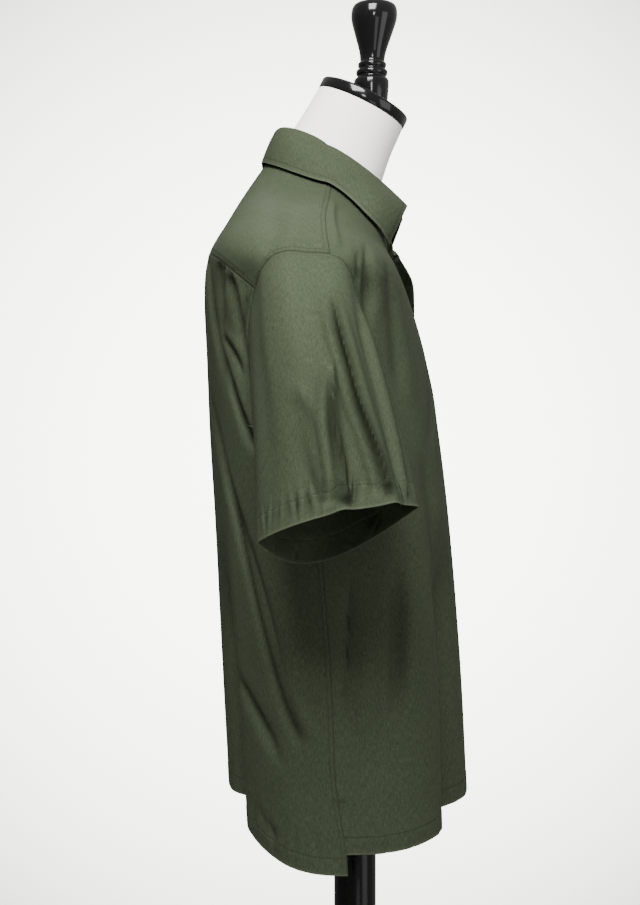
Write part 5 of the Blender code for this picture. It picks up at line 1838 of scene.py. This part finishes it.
# ---- putting it together
@dataclass
class Assembly:
    """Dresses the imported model, piece by piece."""

    wardrobe: Wardrobe = field(default_factory=Wardrobe)
    surface: BodySurface = field(default_factory=BodySurface)
    stitching: Stitching = field(default_factory=Stitching)
    rows: dict[str, list[Array]] = field(default_factory=dict)

    def settle(self, piece: Object, material: Material | None, slot: str, *nodes: str) -> Object:
        """Give a piece its material and its body, and hide the solids that it stands for.

        Args:
            piece: the piece.
            material: its material, or None where it has one.
            slot: not used.
            nodes: the solids that it replaces.

        Returns:
            The piece.
        """
        if material is not None:
            piece.data.materials.clear()
            piece.data.materials.append(material)
        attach(piece, ROOT)
        if nodes:
            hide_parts(*nodes)
        LOG.info("%s: %d faces", piece.name, len(piece.data.polygons))
        return piece

    def hang(self, piece: Object, flat: tuple[float, float], area: float,
             rests_on: Sequence[str], held: str = "hung") -> None:
        """Take how a sheet of cloth was cut and how it is held, and do nothing with it."""

    def dress(self, grid: ClothGrid, name: str, material: Material,
              flat: tuple[float, float], area: float, rests_on: Sequence[str],
              held: str = "hung") -> None:
        """Make one cut piece of cloth.

        Args:
            grid: its outer face.
            name: the node that it stands for.
            material: its cloth.
            flat: the width and length that it was cut to; not used.
            area: its flat area; not used.
            rests_on: what carries it; not used.
            held: how it is held; not used.
        """
        piece = grid.shell(name + "_cloth")
        self.settle(piece, material, name, name)
        self.hang(piece, flat, area, rests_on, held)

    def dress_body(self) -> None:
        """Make the fronts, the back and the yoke."""
        cut = ShirtBody(self.surface)
        cloth = self.wardrobe.body
        rows = self.rows.setdefault("body", [])
        for side, area in ((Side.RIGHT, 0.21), (Side.LEFT, 0.212)):
            grid = cut.front(side).thicken_hem(Border.BOTTOM, BODY_HEM, 0.0004)
            self.dress(grid, "front_" + side.word, cloth, (0.345, 0.8), area, ["yoke_cloth"])
            rows += [grid.line(Border.BOTTOM, BODY_HEM), grid.line(Border.LEFT, FLY_WIDTH)]
        back = cut.back().thicken_hem(Border.BOTTOM, BODY_HEM, 0.0004)
        self.dress(back, "back", cloth, (0.62, 0.66), 0.395, ["yoke_cloth"])
        rows.append(back.line(Border.BOTTOM, BODY_HEM))
        rows += [back.line(border, TOPSTITCH) for border in (Border.LEFT, Border.RIGHT)]
        yoke = cut.yoke()
        self.dress(yoke, "yoke", cloth, (0.62, 0.24), 0.085, ["form_torso_cover"], "draped")
        rows += [yoke.line(border, TOPSTITCH)
                 for border in (Border.BOTTOM, Border.LEFT, Border.RIGHT)]

    def dress_sleeves(self) -> None:
        """Make both sleeves with their hems and inner seams."""
        cut = Sleeves(self.surface)
        for side in Side:
            name = "sleeve_" + side.word
            surface = cut.surface(side)
            grid = cut.grid(surface)
            row = grid.line(Border.TOP, SLEEVE_HEM_WIDTH)
            row = np.concatenate([row, row[:1]])
            if side is Side.LEFT:
                row = row * MIRROR
                grid = replace(grid, points=grid.points * MIRROR, flip=True)
            self.dress(grid, name, self.wardrobe.sleeve, (0.5, 0.25), 0.104,
                       [f"front_{side.word}_cloth"])
            strip, lines = cut.underarm_strip(surface, name + "_underarm_seam")
            self.settle(strip, self.wardrobe.body, name)
            self.hang(strip, (0.011, 0.115), 0.00125, [name + "_cloth"])
            self.rows.setdefault("sleeves", []).extend([row] + lines)

    def dress_collar(self) -> None:
        """Make the stand and the fall."""
        collar = Collar(self.surface)
        cloth = self.wardrobe.collar
        stand, fall = collar.stand(), collar.fall()
        self.dress(stand, "collar_stand", cloth, (0.4, 0.04), 0.013, ["yoke_cloth"])
        self.dress(fall, "collar_fall", cloth, (0.48, 0.085), 0.03,
                   ["collar_stand_cloth", "yoke_cloth"], "folded")
        self.rows["collar"] = [
            fall.line(Border.TOP, TOPSTITCH), fall.line(Border.LEFT, TOPSTITCH, start=0.3),
            fall.line(Border.RIGHT, TOPSTITCH, start=0.3), stand.line(Border.BOTTOM, 0.002)]

    def dress_button(self) -> None:
        """Make the button, its thread and its buttonhole."""
        button = Button(self.surface)
        self.settle(button.disc("button_horn"), self.wardrobe.horn, "button", "button")
        self.rows["button"] = button.thread_lines() + button.buttonhole_lines()

    def vent_bars(self) -> list[Array]:
        """List the short bars of stitching at the tops of the side vents."""
        bars = []
        for sign in (1.0, -1.0):
            for shift in np.linspace(-0.006, 0.006, 5):
                level = np.full(5, VENT_TOP + shift)
                seam = float(side_seam_angle(np.array(VENT_TOP)))
                angle = sign * (seam + np.linspace(-1.7, 1.1, 5))
                points, normals = self.surface.frames(angle, level)
                bars.append(points + normals * 0.0003)
        return bars

    def sew_all(self) -> None:
        """Lay the stitches of every part of the shirt."""
        self.rows["body"] += self.vent_bars()
        for part, lines in self.rows.items():
            piece = self.stitching.sew("stitches_" + part, lines, self.wardrobe.thread)
            slot = {"sleeves": "sleeve_right", "collar": "collar_fall",
                    "button": "button"}.get(part, "front_left")
            self.settle(piece, None, slot)

    def dress_form(self) -> None:
        """Make the form, its pole and its base."""
        form = DressForm(self.surface)
        for piece, material, node in (
                (form.make_torso(), self.wardrobe.cover, "form_torso"),
                (form.make_cap(), self.wardrobe.lacquer, "form_neck_cap"),
                (form.make_finial(), self.wardrobe.lacquer, "form_finial"),
                (form.make_pole(), self.wardrobe.enamel, "form_pole"),
                (form.make_base(), self.wardrobe.enamel, "form_base")):
            self.settle(piece, material, node, node)


# ---- the studio
@dataclass(frozen=True)
class Lamp:
    """One square soft light that looks at a point."""

    name: str
    place: Place
    aim: Place
    size: float
    power: float

    def hang(self) -> None:
        """Hang the light out of the camera's sight."""
        light = bpy.data.lights.new(self.name, "AREA")
        light.shape = "SQUARE"
        light.size = self.size
        light.energy = self.power
        holder = add_object(self.name, light)
        holder.visible_camera = False
        holder.location = self.place
        towards = Vector(self.aim) - Vector(self.place)
        holder.rotation_euler = towards.to_track_quat("-Z", "Y").to_euler()


Shade = tuple[float, float, float, float]


@dataclass
class Studio:
    """A pale floor, soft light and the camera."""

    floor_radius: float = 1.5
    camera_place: Place = (-2.0, 0.042, 1.15)
    focal_length: float = 66.3
    backdrop: tuple[Shade, Shade] = ((2.35, 2.4, 2.3, 1.0), (8.0, 8.1, 7.6, 1.0))
    daylight: tuple[Shade, Shade] = ((0.1, 0.1, 0.097, 1.0), (0.72, 0.73, 0.71, 1.0))
    lamps: tuple[Lamp, ...] = (
        Lamp("overhead", (-1.08, 0.2, 2.35), (-0.1, 0.0, 1.3), 0.7, 70.0),
        Lamp("low_fill", (-2.5, -0.7, 0.75), (0.0, 0.0, 1.1), 0.8, 4.0),
        Lamp("far_fill", (1.5, -0.1, 3.0), (0.0, 0.0, 1.2), 1.0, 34.0),
        Lamp("front_fill", (-1.6, -2.2, 1.25), (0.0, 0.0, 1.1), 1.4, 16.0),
        Lamp("neck_fill", (-0.75, 0.0, 1.66), (0.0, 0.0, 1.58), 0.1, 0.9),
    )

    def make_floor(self) -> None:
        """Lay the pale floor."""
        around = np.linspace(0.0, math.tau, 96, endpoint=False)
        radius = self.floor_radius
        points = [(radius * math.cos(a), radius * math.sin(a), -0.0005) for a in around]
        mesh = bpy.data.meshes.new("floor")
        mesh.from_pydata(points, [], [tuple(range(len(points)))])
        material, net, shader = blank_material("pale_floor")
        place = net.shader("TexCoord")
        tone = net.noise(place.outputs["Object"], 3.0, 3.0)
        net.feed(shader, Base_Color=net.mix(tone, (0.8, 0.8, 0.79, 1.0), (0.84, 0.84, 0.83, 1.0)))
        shader.inputs["Roughness"].default_value = 0.7
        mesh.materials.append(material)
        add_object("floor", mesh)

    def make_surroundings(self) -> None:
        """Set the pale backdrop, brightest along the camera's line, and its soft light."""
        world = bpy.data.worlds.new("studio")
        world.use_nodes = True
        net = NodeSketch(world.node_tree)
        net.tree.nodes.clear()
        way = net.shader("TexCoord").outputs["Generated"]
        x, y, z = net.shader("SeparateXYZ", None, Vector=way).outputs
        away = net.maths("SUBTRACT", net.maths("ABSOLUTE", x), 0.945)
        glow = net.times(away, 18.0)
        glow.node.use_clamp = True
        shown = net.shader("Background", None, Color=net.mix(glow, *self.backdrop))
        above = net.maths("MULTIPLY_ADD", z, 0.5, 0.5)
        above = net.maths("MULTIPLY_ADD", y, -0.25, above)
        lit = net.shader("Background", None, Color=net.mix(above, *self.daylight))
        seen = net.shader("LightPath").outputs["Is Camera Ray"]
        choice = net.shader(
            "MixShader", None, in_0=seen, in_1=lit.outputs[0], in_2=shown.outputs[0])
        net.shader("OutputWorld", None, Surface=choice.outputs[0])
        bpy.context.scene.world = world

    def make_camera(self) -> None:
        """Set the camera at the photograph's place."""
        lens = bpy.data.cameras.new("camera")
        lens.lens = self.focal_length
        lens.sensor_width = 36.0
        lens.sensor_fit = "AUTO"
        camera = add_object("camera", lens)
        camera.location = self.camera_place
        camera.rotation_euler = (math.radians(90.0), 0.0, math.radians(-90.0))
        bpy.context.scene.camera = camera

    def build(self) -> None:
        """Build the whole studio."""
        self.make_floor()
        for lamp in self.lamps:
            lamp.hang()
        self.make_surroundings()
        self.make_camera()


def main() -> None:
    """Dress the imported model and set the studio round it."""
    logging.basicConfig(level=logging.INFO, format="%(name)s: %(message)s")
    Studio().build()
    assembly = Assembly()
    assembly.dress_body()
    assembly.dress_sleeves()
    assembly.dress_collar()
    assembly.dress_button()
    assembly.sew_all()
    assembly.dress_form()


if __name__ == "__main__":
    main()
